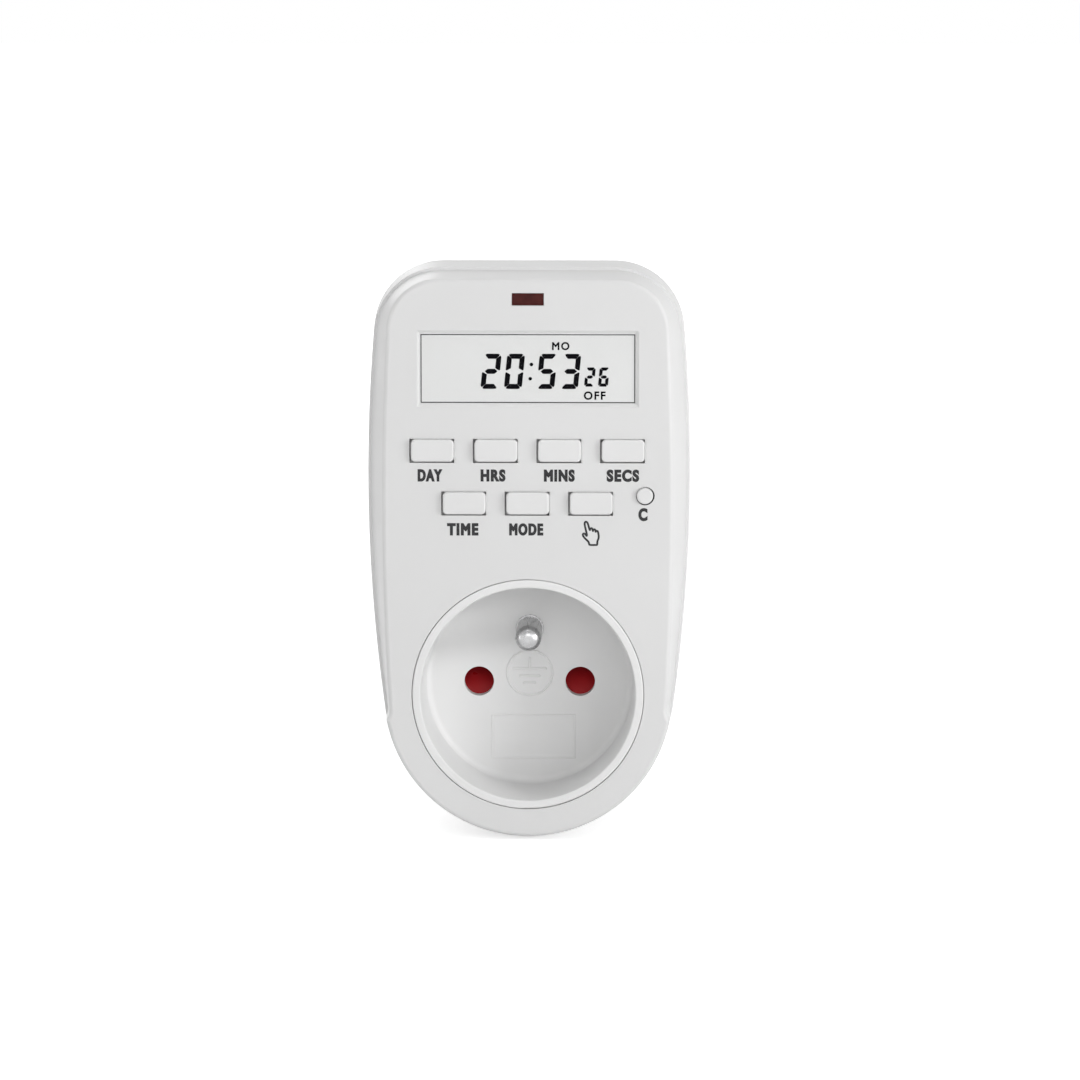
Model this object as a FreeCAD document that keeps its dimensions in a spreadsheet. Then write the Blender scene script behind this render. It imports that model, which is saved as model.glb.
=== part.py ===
# Plug-in digital timer switch: a handheld-size housing with a round mains plug behind and an
# earthed round socket in front, a clock display, seven rectangular keys and a small reset key.
#
# Frame, millimetres: +X to the reader's right, +Z up, and the front faces -Y.
# The origin is the centre of the plug's end face, where the plug's pins come out along +Y.
# Sizes that run into the housing are given as depths behind the front face.

import FreeCAD, Part
import math
import os
import re

import Sketcher

SIZES = {
    # socket at the front: the well sets the width of the whole housing
    "well_floor_radius": 19.4,
    "well_flare": 0.5,
    "rim_width": 1.5,
    "rim_clearance": 0.12,
    "rim_proud": 0.2,
    "well_depth": 16.0,
    "well_floor_thickness": 2.5,
    "mouth_round": 0.3,
    "rim_round": 0.25,
    "floor_round": 1.2,
    "collar_width": 1.5,
    "socket_collar_depth": 6.0,
    "socket_collar_thickness": 2.0,
    "ear_reach": 3.2,
    "ear_angle": 50.0,
    "ear_radius": 2.6,
    "socket_post_radius": 2.2,
    # housing outline, seen from the front, about the socket's axis
    "bottom_border": 5.9,
    "side_bulge": 2.75,
    "widest_height": 40.0,
    "corner_radius": 13.0,
    "top_border": 18.95,
    # housing depth and shell
    "rear_room_depth": 13.2,
    "seam_depth": 14.0,
    "seam_groove": 0.25,
    "wall": 2.0,
    "front_draft": 0.6,
    "front_top_draft": 1.35,
    "rear_draft": 2.5,
    "front_edge_round": 0.8,
    "rear_edge_round": 2.0,
    "lip_length": 2.0,
    "lip_clearance": 0.12,
    "label_recess_width": 32.0,
    "label_recess_height": 24.0,
    "label_above_plug": 15.5,
    "label_recess_depth": 0.4,
    # raised face of the front cover, and the shoulder where it runs out into the round bottom
    "face_side_inset": 3.35,
    "face_widest_height": 34.0,
    "face_bottom_inset": 1.5,
    "face_top_inset": 2.55,
    "face_corner_inset": 3.6,
    "step_depth": 6.5,
    "step_ledge": 0.5,
    "shoulder_height": 2.6,
    "shoulder_inset": 1.4,
    "shoulder_slope": 1.22,
    "shoulder_round": 4.0,
    # screws that close the housing
    "upper_screw_inset": 13.05,
    "upper_screw_gap": 0.55,
    "lower_screw_angle": 34.6,
    "lower_screw_gap": 0.32,
    "case_screw_radius": 1.2,
    "case_screw_length": 12.0,
    "case_screw_head_radius": 2.6,
    "case_screw_head_height": 1.8,
    "case_boss_radius": 2.3,
    "case_boss_past_seam": 2.0,
    "case_hole_clearance": 0.3,
    "screw_shelf": 2.0,
    "screw_well_clearance": 0.4,
    "screw_well_wall": 1.0,
    "screw_clearance": 0.05,
    "screw_tip_gap": 0.3,
    # plug at the back
    "plug_radius": 18.5,
    "plug_height": 18.0,
    "plug_wall": 3.0,
    "plug_edge_round": 1.0,
    "contact_spacing": 19.0,
    "plug_pin_radius": 2.4,
    "plug_pin_length": 19.0,
    "pin_root": 0.2,
    "plug_pin_tip_round": 1.5,
    "plug_pin_collar_radius": 3.6,
    "plug_pin_collar": 1.4,
    "plug_pin_tail_radius": 2.0,
    "plug_pin_tail": 3.6,
    "guide_groove_width": 5.0,
    "guide_groove_depth": 1.8,
    "earth_groove_width": 7.0,
    "earth_groove_depth": 1.6,
    "earth_offset": 10.0,
    "earth_hole_radius": 3.0,
    # earth pin of the socket
    "aperture_clearance": 0.38,
    "earth_pin_radius": 2.4,
    "earth_pin_length": 14.0,
    "earth_pin_tip_round": 1.9,
    "earth_pin_collar_radius": 3.4,
    "earth_pin_collar": 1.2,
    "earth_pin_tail_radius": 1.6,
    "earth_pin_tail": 6.9,
    "part_clearance": 0.05,
    # child shutter behind the socket's floor
    "shutter_cover": 1.02,
    "shutter_thickness": 5.5,
    "shutter_overlap": 0.42,
    "shutter_lip": 0.8,
    "shutter_foot": 1.6,
    "shutter_open_gap": 0.02,
    "shutter_clearance": 0.2,
    "spring_radius": 1.7,
    "spring_wire": 0.4,
    "spring_turns": 7.0,
    "spring_pressed_length": 5.2,
    "spring_seat_width": 6.8,
    "spring_seat_thickness": 2.0,
    # contact carrier
    "rail_wall": 1.2,
    "carrier_post_gap": 0.3,
    "carrier_post_radius": 1.9,
    "carrier_edge": 2.1,
    "carrier_rim_gap": 0.6,
    "carrier_earth_gap": 1.8,
    "carrier_plate": 1.4,
    "carrier_hole_clearance": 0.2,
    "chamber_wall": 1.1,
    "chamber_depth": 8.6,
    "bar_slot_clearance": 0.2,
    # metal strip
    "strip": 0.8,
    "leaf": 0.6,
    "leaf_squeeze": 0.4,
    "contact_width": 6.0,
    "contact_length": 9.8,
    "contact_seat_gap": 0.3,
    "contact_side_gap": 0.6,
    "contact_spring_gap": 1.1,
    "bar_width": 5.0,
    "bar_height_in_plug": 8.8,
    "bar_board_gap": 0.8,
    "foot_reach": 0.4,
    "outlet_bar_setback": 2.9,
    "outlet_bar_width": 4.0,
    "outlet_foot_rise": 2.6,
    "inlet_foot_rise": 2.5,
    "earth_strip_width": 6.0,
    "earth_slot_clearance": 0.4,
    "earth_frame_gap": 0.2,
    "earth_arm_width": 4.4,
    "earth_arm_inset": 0.5,
    "earth_arm_end": 1.5,
    "receptacle_radius": 3.3,
    "receptacle_bore": 2.45,
    "receptacle_slot": 0.8,
    "receptacle_root": 3.0,
    "receptacle_gap": 0.2,
    "earth_strap_gap": 1.2,
    # display
    "window_width": 39.45,
    "window_height": 12.7,
    "window_above_keys": 15.05,
    "window_bevel": 0.5,
    "window_gap": 0.2,
    "window_flange": 0.9,
    "window_flange_thickness": 0.8,
    "panel_border": 0.75,
    "panel_gap": 0.3,
    "panel_thickness": 2.6,
    "frame_wall": 0.6,
    "frame_clearance": 0.15,
    "frame_shelf": 1.0,
    "strip_thickness": 1.6,
    "strip_offset": 5.0,
    "strip_end_gap": 1.0,
    # indicator
    "lamp_window_width": 5.8,
    "lamp_window_height": 2.2,
    "lamp_below_top": 6.15,
    "lamp_window_recess": 0.1,
    "lamp_window_flange": 0.4,
    "lamp_window_flange_thickness": 0.6,
    "lamp_window_gap": 0.05,
    "lamp_radius": 1.5,
    "lamp_dome": 1.35,
    "lamp_gap": 0.8,
    # keys
    "key_width": 7.9,
    "key_height": 4.1,
    "key_pitch": 11.7,
    "row_pitch": 9.75,
    "keys_above_rim": 14.3,
    "key_proud": 1.0,
    "key_corner": 0.8,
    "key_edge": 0.35,
    "key_gap": 0.3,
    "key_flange": 0.75,
    "key_flange_thickness": 0.85,
    "key_stem_radius": 1.2,
    "key_stem_length": 1.35,
    "key_travel": 0.5,
    "key_rest_gap": 0.1,
    "reset_inset": 5.15,
    "reset_rise": 1.4,
    "reset_radius": 1.5,
    "reset_proud": 0.8,
    "reset_flange": 0.6,
    # tactile switches under the keys
    "switch_size": 6.0,
    "switch_height": 3.5,
    "reset_switch_size": 4.2,
    "plunger_radius": 1.75,
    "reset_plunger_radius": 1.0,
    "plunger_out": 0.8,
    "plunger_in": 1.2,
    "plunger_clearance": 0.08,
    "plunger_floor_gap": 0.2,
    # control board
    "board_thickness": 1.6,
    "board_side_gap": 5.85,
    "board_above_rim": 5.8,
    "board_boss_gap": 0.4,
    "board_tongue_half_width": 12.2,
    "board_tongue_rise": 3.5,
    "board_tongue_root": 1.0,
    "board_post_radius": 1.9,
    "board_screw_radius": 0.8,
    "board_screw_length": 4.6,
    "board_screw_head": 1.6,
    "board_screw_head_height": 1.1,
    "board_upper_post_inset": 2.2,
    "board_upper_post_drop": 2.0,
    "board_lower_post_inset": 4.2,
    "board_lower_post_rise": 1.8,
    # power board and what stands on it
    "power_post_length": 2.4,
    "power_side_gap": 7.55,
    "power_above_rim": 3.1,
    "power_post_inset": 3.5,
    "power_lower_post_rise": 7.0,
    "power_upper_post_drop": 4.8,
    "relay_left": -0.3,
    "relay_rise": 9.75,
    "relay_width": 19.0,
    "relay_height": 15.5,
    "relay_depth": 15.4,
    "film_side_gap": 1.7,
    "film_gap": 0.4,
    "film_width": 18.0,
    "film_height": 8.0,
    "film_depth": 15.0,
    "cell_side_gap": 0.5,
    "cell_gap": 0.7,
    "cell_radius": 7.7,
    "cell_depth": 6.4,
    "smoothing_radius": 4.0,
    "smoothing_depth": 11.0,
    "smoothing_side_gap": 2.8,
    "smoothing_gap": 0.4,
    "smoothing_spacing": 1.5,
    "surge_radius": 4.2,
    "surge_thickness": 3.4,
    "surge_x": -13.5,
    "surge_rise": 2.7,
    "surge_leg": 1.0,
    "diode_radius": 1.3,
    "diode_length": 5.0,
    "diode_pitch": 7.8,
    "diode_drop": 2.6,
    "resistor_radius": 1.0,
    "resistor_length": 6.5,
    "resistor_shift": 0.8,
    "resistor_gap": 0.35,
    "lead_radius": 0.35,
    "lead_bend": 0.6,
    "lead_reach": 0.5,
    "part_stand_off": 1.0,
    "moulded_round": 0.6,
    "can_round": 0.5,
    # parts on the back of the control board
    "chip_radius": 6.0,
    "chip_height": 1.3,
    "chip_dome": 1.17,
    "chip_drop": 0.5,
    "crystal_radius": 1.0,
    "crystal_length": 6.0,
    "crystal_gap": 3.0,
    # ribbon cable between the boards
    "ribbon_wires": 6.0,
    "ribbon_wire_radius": 0.6,
    "ribbon_wire_pitch": 1.176,
    "ribbon_x": -2.0,
    "ribbon_control_rise": 3.8,
    "ribbon_power_rise": 3.5,
    "ribbon_bend": 4.0,
    # how far a cutter runs past what it cuts
    "cut_past": 1.0,
}

# Places and sizes that follow from the driving ones
FOLLOWING = {
    "mouth_radius": "well_floor_radius + well_flare",
    "rim_radius": "mouth_radius + rim_width",
    "socket_collar_radius": "rim_radius + collar_width",
    "ear_distance": "rim_radius + ear_reach",
    "bottom_radius": "rim_radius + bottom_border",
    "half_width": "bottom_radius + side_bulge",
    "top_height": "window_middle + top_border",
    "face_half_width": "half_width - face_side_inset",
    "face_bottom_radius": "bottom_radius - face_bottom_inset",
    "face_top_height": "top_height - face_top_inset",
    "face_corner_radius": "corner_radius - face_corner_inset",
    "shoulder_half_width": "rim_radius - shoulder_inset",
    "well_back": "well_depth + well_floor_thickness",
    "carrier_front": "well_back + shutter_thickness + 2 * shutter_clearance",
    "carrier_back": "carrier_front + carrier_plate",
    "body_depth": "carrier_back + rear_room_depth",
    "upper_screw_x": "half_width - upper_screw_inset",
    "upper_screw_height": "frame_top + upper_screw_gap + case_boss_radius",
    "lower_screw_distance": "socket_collar_radius + lower_screw_gap + case_boss_radius",
    "case_boss_end": "seam_depth + case_boss_past_seam",
    "screw_well_radius": "case_screw_head_radius + screw_well_clearance",
    "label_recess_middle": "plug_radius + label_above_plug + label_recess_height / 2",
    "aperture_radius": "plug_pin_radius + aperture_clearance",
    "shutter_half_width": "contact_spacing / 2 + aperture_radius + shutter_cover",
    "shutter_reach": "aperture_radius + shutter_overlap",
    "shutter_travel": "shutter_reach + aperture_radius + shutter_open_gap",
    "spring_seat_height": "shutter_reach + shutter_foot + shutter_travel + spring_pressed_length",
    "carrier_post_offset": "shutter_half_width + shutter_clearance + rail_wall + carrier_post_gap"
                           " + carrier_post_radius",
    "carrier_half_width": "carrier_post_offset + carrier_edge",
    "carrier_top": "earth_offset - earth_pin_tail_radius - carrier_earth_gap",
    "carrier_bottom": "spring_seat_height + spring_seat_thickness",
    "leaf_gap": "2 * plug_pin_radius - leaf_squeeze",
    "chamber_width": "contact_width + 2 * contact_side_gap",
    "chamber_height": "leaf_gap + 2 * leaf + 2 * contact_spring_gap",
    "outlet_bar_depth": "carrier_back + contact_seat_gap + outlet_bar_setback",
    "outlet_foot_height": "power_bottom + outlet_foot_rise",
    "inlet_foot_height": "outlet_foot_height + inlet_foot_rise",
    "earth_strap_height": "plug_radius - plug_wall - earth_strap_gap",
    "window_middle": "upper_row + window_above_keys",
    "panel_width": "window_width + 2 * panel_border",
    "panel_height": "window_height + 2 * panel_border",
    "panel_depth": "wall + window_flange_thickness + panel_gap",
    "frame_top": "window_middle + panel_height / 2 + frame_clearance + frame_wall",
    "lamp_window_middle": "top_height - lamp_below_top",
    "lamp_front": "wall + lamp_window_flange_thickness + lamp_gap",
    "lower_row": "rim_radius + keys_above_rim",
    "upper_row": "lower_row + row_pitch",
    "reset_x": "face_half_width - reset_inset",
    "reset_height": "lower_row + reset_rise",
    "stem_end": "wall + key_rest_gap + key_flange_thickness + key_stem_length",
    "board_depth": "stem_end + plunger_out + switch_height",
    "board_half_width": "half_width - board_side_gap",
    "board_bottom": "rim_radius + board_above_rim",
    "board_top": "upper_screw_height - case_boss_radius - board_boss_gap",
    "board_tongue_top": "board_upper_post_height + board_tongue_rise",
    "board_upper_post_x": "board_tongue_half_width - board_upper_post_inset",
    "board_upper_post_height": "(frame_top + top_height) / 2 - board_upper_post_drop",
    "board_lower_post_x": "board_half_width - board_lower_post_inset",
    "board_lower_post_height": "board_bottom + board_lower_post_rise",
    "power_depth": "body_depth - wall - power_post_length - board_thickness",
    "power_half_width": "half_width - power_side_gap",
    "power_bottom": "rim_radius + power_above_rim",
    "power_top": "upper_screw_height - screw_well_radius - screw_well_wall - board_boss_gap",
    "power_post_x": "power_half_width - power_post_inset",
    "power_lower_post": "power_bottom + power_lower_post_rise",
    "power_upper_post": "power_top - power_upper_post_drop",
    "relay_x": "relay_left + relay_width / 2",
    "relay_middle": "power_bottom + relay_rise + relay_height / 2",
    "surge_middle": "power_bottom + surge_rise + surge_radius",
    "film_x": "relay_left - film_side_gap - film_width / 2",
    "film_middle": "surge_middle + surge_radius + film_gap + film_height / 2",
    "diode_middle": "power_top - diode_drop",
    "cell_x": "relay_left - cell_side_gap - cell_radius",
    "cell_middle": "diode_middle - diode_radius - cell_gap - cell_radius",
    "resistor_x": "relay_x + resistor_shift",
    "resistor_middle": "relay_middle + relay_height / 2 + resistor_gap + resistor_radius",
    "smoothing_x": "cell_x + cell_radius + smoothing_side_gap + smoothing_radius",
    "smoothing_pitch": "2 * smoothing_radius + smoothing_spacing",
    "smoothing_middle": "resistor_middle + resistor_radius + smoothing_gap + smoothing_radius",
    "chip_middle": "window_middle - chip_drop",
    "crystal_x": "chip_radius + crystal_gap + crystal_length / 2",
    "ribbon_control_height": "board_bottom + ribbon_control_rise",
    "ribbon_power_height": "power_bottom + ribbon_power_rise",
}

KEYS = {
    "week_key": ("-1.5 * key_pitch", "upper_row"),
    "hour_key": ("-0.5 * key_pitch", "upper_row"),
    "minute_key": ("0.5 * key_pitch", "upper_row"),
    "second_key": ("1.5 * key_pitch", "upper_row"),
    "clock_key": ("-key_pitch", "lower_row"),
    "program_key": ("0", "lower_row"),
    "manual_key": ("key_pitch", "lower_row"),
}

doc = FreeCAD.newDocument("timer_switch")
sheet = doc.addObject("Spreadsheet::Sheet", "sizes")
for row, (alias, size) in enumerate(SIZES.items(), start=1):
    sheet.set(f"A{row}", str(size))
    sheet.setAlias(f"A{row}", alias)
doc.recompute()

pieces = {}


# Formulas and places

def cells(formula):
    """The formula with what follows worked out, and each size's name turned into its cell of the sheet."""
    def cell(match):
        word = match[0]
        if word in FOLLOWING:
            return f"({cells(FOLLOWING[word])})"
        return "sizes." + word if word in SIZES else word
    return re.sub(r"[a-z_]{3,}", cell, str(formula))


def value(formula):
    """The formula's number with the sizes as they stand."""
    return float(reader.evalExpression(cells(formula)))


def bind(thing, **formulas):
    """Binds properties of a document object to formulas of the sizes."""
    for name, formula in formulas.items():
        thing.setExpression(name, cells(formula))
    return thing


def behind(depth):
    """The y of a depth behind the front face."""
    return f"(({depth}) - body_depth - plug_height)"


def place(thing, x="0", y="0", z="0", turn=None):
    """Puts a primitive's own origin at x, y, z, turned if its axis isn't Z."""
    if turn is not None:
        thing.Placement.Rotation = turn
    for axis, formula in (("x", x), ("y", y), ("z", z)):
        thing.setExpression(f"Placement.Base.{axis}", cells(formula))
    return thing


reader = doc.addObject("App::FeaturePython", "reader")
ALONG_Y = FreeCAD.Rotation(FreeCAD.Vector(1, 0, 0), -90)
ALONG_X = FreeCAD.Rotation(FreeCAD.Vector(0, 1, 0), 90)
FACING_FRONT = FreeCAD.Rotation(FreeCAD.Vector(1, 0, 0), 90)
BEYOND = "(2 * top_height)"
SAME_PLACE = 1e-4
RIM_MATCH = 1e-3


# Solids from primitives

def block(name, x, y, z):
    """A box between two formulas along each axis."""
    box = doc.addObject("Part::Box", name)
    bind(box, Length=f"({x[1]}) - ({x[0]})", Width=f"({y[1]}) - ({y[0]})", Height=f"({z[1]}) - ({z[0]})")
    return place(box, x[0], y[0], z[0])


def centred(middle, size):
    return (f"({middle}) - ({size}) / 2", f"({middle}) + ({size}) / 2")


def rod(name, radius, y, x="0", z="0"):
    """A cylinder along Y between two formulas."""
    cylinder = doc.addObject("Part::Cylinder", name)
    bind(cylinder, Radius=radius, Height=f"({y[1]}) - ({y[0]})")
    return place(cylinder, x, y[0], z, ALONG_Y)


def rod_along_x(name, radius, x, y, z):
    cylinder = doc.addObject("Part::Cylinder", name)
    bind(cylinder, Radius=radius, Height=f"({x[1]}) - ({x[0]})")
    return place(cylinder, x[0], y, z, ALONG_X)


def fuse(name, *things):
    joined = doc.addObject("Part::MultiFuse", name)
    joined.Shapes = list(things)
    joined.Refine = True
    return joined


def cut(name, base, *tools):
    result = doc.addObject("Part::Cut", name)
    result.Base = base
    result.Tool = tools[0] if len(tools) == 1 else fuse(name + "_tools", *tools)
    return result


def common(name, first, second):
    result = doc.addObject("Part::Common", name)
    result.Base = first
    result.Tool = second
    return result


def group(name, *things):
    """Separate solids kept together in one node."""
    compound = doc.addObject("Part::Compound", name)
    compound.Links = list(things)
    return compound


def rounded(name, base, radius, wanted, kind="Part::Fillet"):
    """Fillets, or chamfers, the edges of base that the test picks."""
    doc.recompute()
    dressed = doc.addObject(kind, name)
    dressed.Base = base
    size = value(radius)
    dressed.Edges = [(i, size, size) for i, edge in enumerate(base.Shape.Edges, start=1) if wanted(edge)]
    return dressed


def finish(node, thing):
    """Names the finished object after its node and keeps it."""
    thing.Label = node
    pieces[node] = thing
    return thing


def lies_at(edge, y):
    """Whether an edge lies wholly in the plane at y."""
    box = edge.BoundBox
    return abs(box.YMin - y) < SAME_PLACE and abs(box.YMax - y) < SAME_PLACE


# Outlines of the housing, as sketches that face the front

def outline(name, y, half_width, widest, bottom_radius, top, corner):
    """A closed outline: round bottom about the origin, bowed sides, round corners and a flat top."""
    w, m, r, t, c = (value(f) for f in (half_width, widest, bottom_radius, top, corner))
    side_formula = (f"(({half_width})^2 + ({widest})^2 - ({bottom_radius})^2)"
                    f" / (2 * (({half_width}) - ({bottom_radius})))")
    side = value(side_formula)
    side_x = w - side
    corner_x = math.sqrt((side - c) ** 2 - (t - c - m) ** 2) + side_x
    low = math.atan2(m, -side_x)
    high = math.atan2(t - c - m, corner_x - side_x)
    up = FreeCAD.Vector(0, 0, 1)

    def arc(x, z, radius, start, end):
        return Part.ArcOfCircle(Part.Circle(FreeCAD.Vector(x, z, 0), up, radius), start, end)

    sketch = doc.addObject("Sketcher::SketchObject", name)
    place(sketch, "0", y, "0", FACING_FRONT)
    sketch.addGeometry([
        arc(0, 0, r, math.pi + low, 2 * math.pi - low),
        arc(side_x, m, side, -low, high),
        arc(corner_x, t - c, c, high, math.pi / 2),
        Part.LineSegment(FreeCAD.Vector(corner_x, t, 0), FreeCAD.Vector(-corner_x, t, 0)),
        arc(-corner_x, t - c, c, math.pi / 2, math.pi - high),
        arc(-side_x, m, side, math.pi - high, math.pi + low),
    ], False)
    sketch.addConstraint([Sketcher.Constraint("Coincident", 0, 3, -1, 1)])
    for first, second in ((0, 1), (1, 2), (2, 3), (3, 4), (4, 5), (5, 0)):
        sketch.addConstraint(Sketcher.Constraint("Tangent", first, 2, second, 1))
    sketch.addConstraint([
        Sketcher.Constraint("Equal", 1, 5),
        Sketcher.Constraint("Equal", 2, 4),
        Sketcher.Constraint("Horizontal", 3),
    ])
    for constraint, formula in (
        (Sketcher.Constraint("Radius", 0, r), bottom_radius),
        (Sketcher.Constraint("Radius", 1, side), side_formula),
        (Sketcher.Constraint("Radius", 2, c), corner),
        (Sketcher.Constraint("DistanceY", -1, 1, 1, 3, m), widest),
        (Sketcher.Constraint("DistanceY", -1, 1, 5, 3, m), widest),
        (Sketcher.Constraint("DistanceY", -1, 1, 3, 1, t), top),
    ):
        index = sketch.addConstraint(constraint)
        sketch.setExpression(f"Constraints[{index}]", cells(formula))
    return sketch


def body_outline(name, depth, inset="0"):
    """The housing's outline at a depth, tapered to both sides of the seam and drawn in by inset."""
    if value(depth) <= value("seam_depth"):
        share = f"(seam_depth - ({depth})) / seam_depth"
        side, top = f"front_draft * {share} + {inset}", f"front_top_draft * {share} + {inset}"
    else:
        side = f"rear_draft * (({depth}) - seam_depth) / (body_depth - seam_depth) + {inset}"
        top = side
    return outline(name, behind(depth), f"half_width - ({side})", "widest_height",
                   f"bottom_radius - ({side})", f"top_height - ({top})", f"corner_radius - ({side})")


def face_outline(name, depth, inset):
    """The raised face's outline at a depth, drawn in by inset."""
    return outline(name, behind(depth), f"face_half_width - ({inset})", "face_widest_height",
                   f"face_bottom_radius - ({inset})", f"face_top_height - ({inset})",
                   f"face_corner_radius - ({inset})")


def loft(name, first, second):
    solid = doc.addObject("Part::Loft", name)
    solid.Sections = [first, second]
    solid.Solid = True
    solid.Ruled = True
    return solid


def housing_loft(name, first_depth, second_depth, inset="0"):
    """The housing's own taper between two depths, drawn in by inset."""
    return loft(name, body_outline(name + "_a", first_depth, inset),
                body_outline(name + "_b", second_depth, inset))


def upper_screw(side):
    return f"{side} * upper_screw_x", "upper_screw_height"


def lower_screw(side):
    return (f"{side} * lower_screw_distance * cos(lower_screw_angle)",
            "lower_screw_distance * sin(lower_screw_angle)")


CASE_SCREWS = [upper_screw(-1), upper_screw(1), lower_screw(-1), lower_screw(1)]
BOARD_SCREWS = [(f"{side} * {x}", z) for side in (-1, 1)
                for x, z in (("board_upper_post_x", "board_upper_post_height"),
                             ("board_lower_post_x", "board_lower_post_height"))]
POWER_SCREWS = [("-power_post_x", "power_lower_post"), ("power_post_x", "power_lower_post"),
                ("-power_post_x", "power_upper_post"), ("power_post_x", "power_upper_post")]
BOARD_HOLE = "board_screw_radius + screw_clearance"
EARS = [(f"{side} * ear_distance * cos(ear_angle)", "ear_distance * sin(ear_angle)") for side in (-1, 1)]


# Front cover

def front_face_solid():
    """The cover's outside: a tapered band, and a raised face that runs out into the round bottom."""
    band = housing_loft("band", "seam_depth", "0")
    front = value(behind("0"))
    band = rounded("band_round", band, "front_edge_round", lambda edge: lies_at(edge, front))
    seam = value(behind("seam_depth"))
    band = rounded("band_seam", band, "seam_groove", lambda edge: lies_at(edge, seam), "Part::Chamfer")
    reach, bottom = "(half_width + cut_past)", "-(bottom_radius + cut_past)"
    low_half = block("band_low", (f"-{reach}", reach), (behind("step_depth"), behind("seam_depth + cut_past")),
                     (bottom, "top_height + cut_past"))
    face = loft("face",
                body_outline("face_foot", "step_depth", "step_ledge"),
                face_outline("face_top", "0", "0"))
    fall = f"shoulder_height - ({reach} - shoulder_half_width) * shoulder_slope"
    corners = [(f"-{reach}", bottom), (reach, bottom), (reach, fall),
               ("shoulder_half_width", "shoulder_height"),
               ("-shoulder_half_width", "shoulder_height"), (f"-{reach}", fall)]
    shoulder_sketch = polygon("shoulder_sketch", behind("0"), corners)
    shoulder = doc.addObject("Part::Extrusion", "shoulder")
    shoulder.Base = shoulder_sketch
    shoulder.DirMode = "Custom"
    shoulder.Dir = FreeCAD.Vector(0, 1, 0)
    shoulder.Solid = True
    bind(shoulder, LengthFwd="step_depth")
    raised = fuse("raised", face, shoulder)
    most_of_step = 0.9 * value("step_depth")
    inside = value("face_half_width - face_side_inset")

    def inner_corner(edge):
        box = edge.BoundBox
        runs_back = box.YMax - box.YMin > most_of_step
        at_side = min(abs(box.XMin), abs(box.XMax)) > inside
        return runs_back and at_side and value(fall) < box.ZMin < value("shoulder_height")

    raised = rounded("raised_shoulder", raised, "shoulder_round", inner_corner)
    raised = rounded("raised_round", raised, "front_edge_round",
                     lambda edge: lies_at(edge, front) and edge.BoundBox.ZMax > value(fall) + value("wall"))
    return fuse("cover_outside", common("cover_band", band, low_half), common("cover_raised", band, raised))


def polygon(name, y, corners):
    """A closed sketch through corners given as pairs of formulas, each bound to the origin."""
    sketch = doc.addObject("Sketcher::SketchObject", name)
    place(sketch, "0", y, "0", FACING_FRONT)
    points = [FreeCAD.Vector(value(x), value(z), 0) for x, z in corners]
    count = len(points)
    sketch.addGeometry([Part.LineSegment(points[i], points[(i + 1) % count]) for i in range(count)], False)
    for i in range(count):
        sketch.addConstraint(Sketcher.Constraint("Coincident", i, 2, (i + 1) % count, 1))
    for i, (x, z) in enumerate(corners):
        for kind, formula, number in (("DistanceX", x, points[i].x), ("DistanceY", z, points[i].y)):
            index = sketch.addConstraint(Sketcher.Constraint(kind, -1, 1, i, 1, number))
            sketch.setExpression(f"Constraints[{index}]", cells(formula))
    return sketch


def front_cover():
    outside = front_face_solid()
    rear_room = housing_loft("cover_rear_room", "step_depth + wall", "seam_depth", "wall")
    face_room = loft("cover_face_room", face_outline("face_room_a", "step_depth + wall", "wall"),
                     face_outline("face_room_b", "wall", "wall"))
    rebate = housing_loft("cover_rebate", "seam_depth - lip_length - lip_clearance", "seam_depth", "wall / 2")
    hollow = cut("cover_shell", outside, rear_room, face_room, rebate)
    posts = [rod(f"case_boss_{i}", "case_boss_radius", (behind("wall / 2"), behind("case_boss_end")), x, z)
             for i, (x, z) in enumerate(CASE_SCREWS)]
    posts += [rod(f"board_post_{i}", "board_post_radius", (behind("wall / 2"), behind("board_depth")), x, z)
              for i, (x, z) in enumerate(BOARD_SCREWS)]
    posts += [rod(f"socket_post_{i}", "socket_post_radius",
                  (behind("wall / 2"), behind("socket_collar_depth")), x, z) for i, (x, z) in enumerate(EARS)]
    solid = fuse("cover_with_posts", hollow, *posts)
    through = (behind("-cut_past"), behind("wall + cut_past"))
    openings = [rod("socket_opening", "rim_radius + rim_clearance",
                    (behind("-cut_past"), behind("step_depth + wall")))]
    openings.append(block("window_opening", centred("0", "window_width + 2 * window_gap"), through,
                          centred("window_middle", "window_height + 2 * window_gap")))
    openings.append(window_bevel())
    openings.append(block("lamp_opening", centred("0", "lamp_window_width + 2 * lamp_window_gap"), through,
                          centred("lamp_window_middle", "lamp_window_height + 2 * lamp_window_gap")))
    openings += [block(f"{key}_opening", centred(x, "key_width + 2 * key_gap"), through,
                       centred(z, "key_height + 2 * key_gap")) for key, (x, z) in KEYS.items()]
    openings.append(rod("reset_opening", "reset_radius + key_gap", through, "reset_x", "reset_height"))
    openings += [rod(f"case_boss_hole_{i}", "case_screw_radius + screw_clearance",
                     (behind("case_boss_end + screw_shelf - case_screw_length - screw_tip_gap"),
                      behind("case_boss_end + cut_past")), x, z) for i, (x, z) in enumerate(CASE_SCREWS)]
    openings += [rod(f"board_post_hole_{i}", BOARD_HOLE,
                     (behind("board_depth + board_thickness - board_screw_length - screw_tip_gap"),
                      behind("board_depth + cut_past")), x, z) for i, (x, z) in enumerate(BOARD_SCREWS)]
    openings += [rod(f"socket_post_hole_{i}", BOARD_HOLE,
                     (behind("socket_collar_depth + socket_collar_thickness - board_screw_length"
                             " - screw_tip_gap"),
                      behind("socket_collar_depth + cut_past")), x, z) for i, (x, z) in enumerate(EARS)]
    return finish("front_cover", cut("front_cover", solid, *openings))


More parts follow.
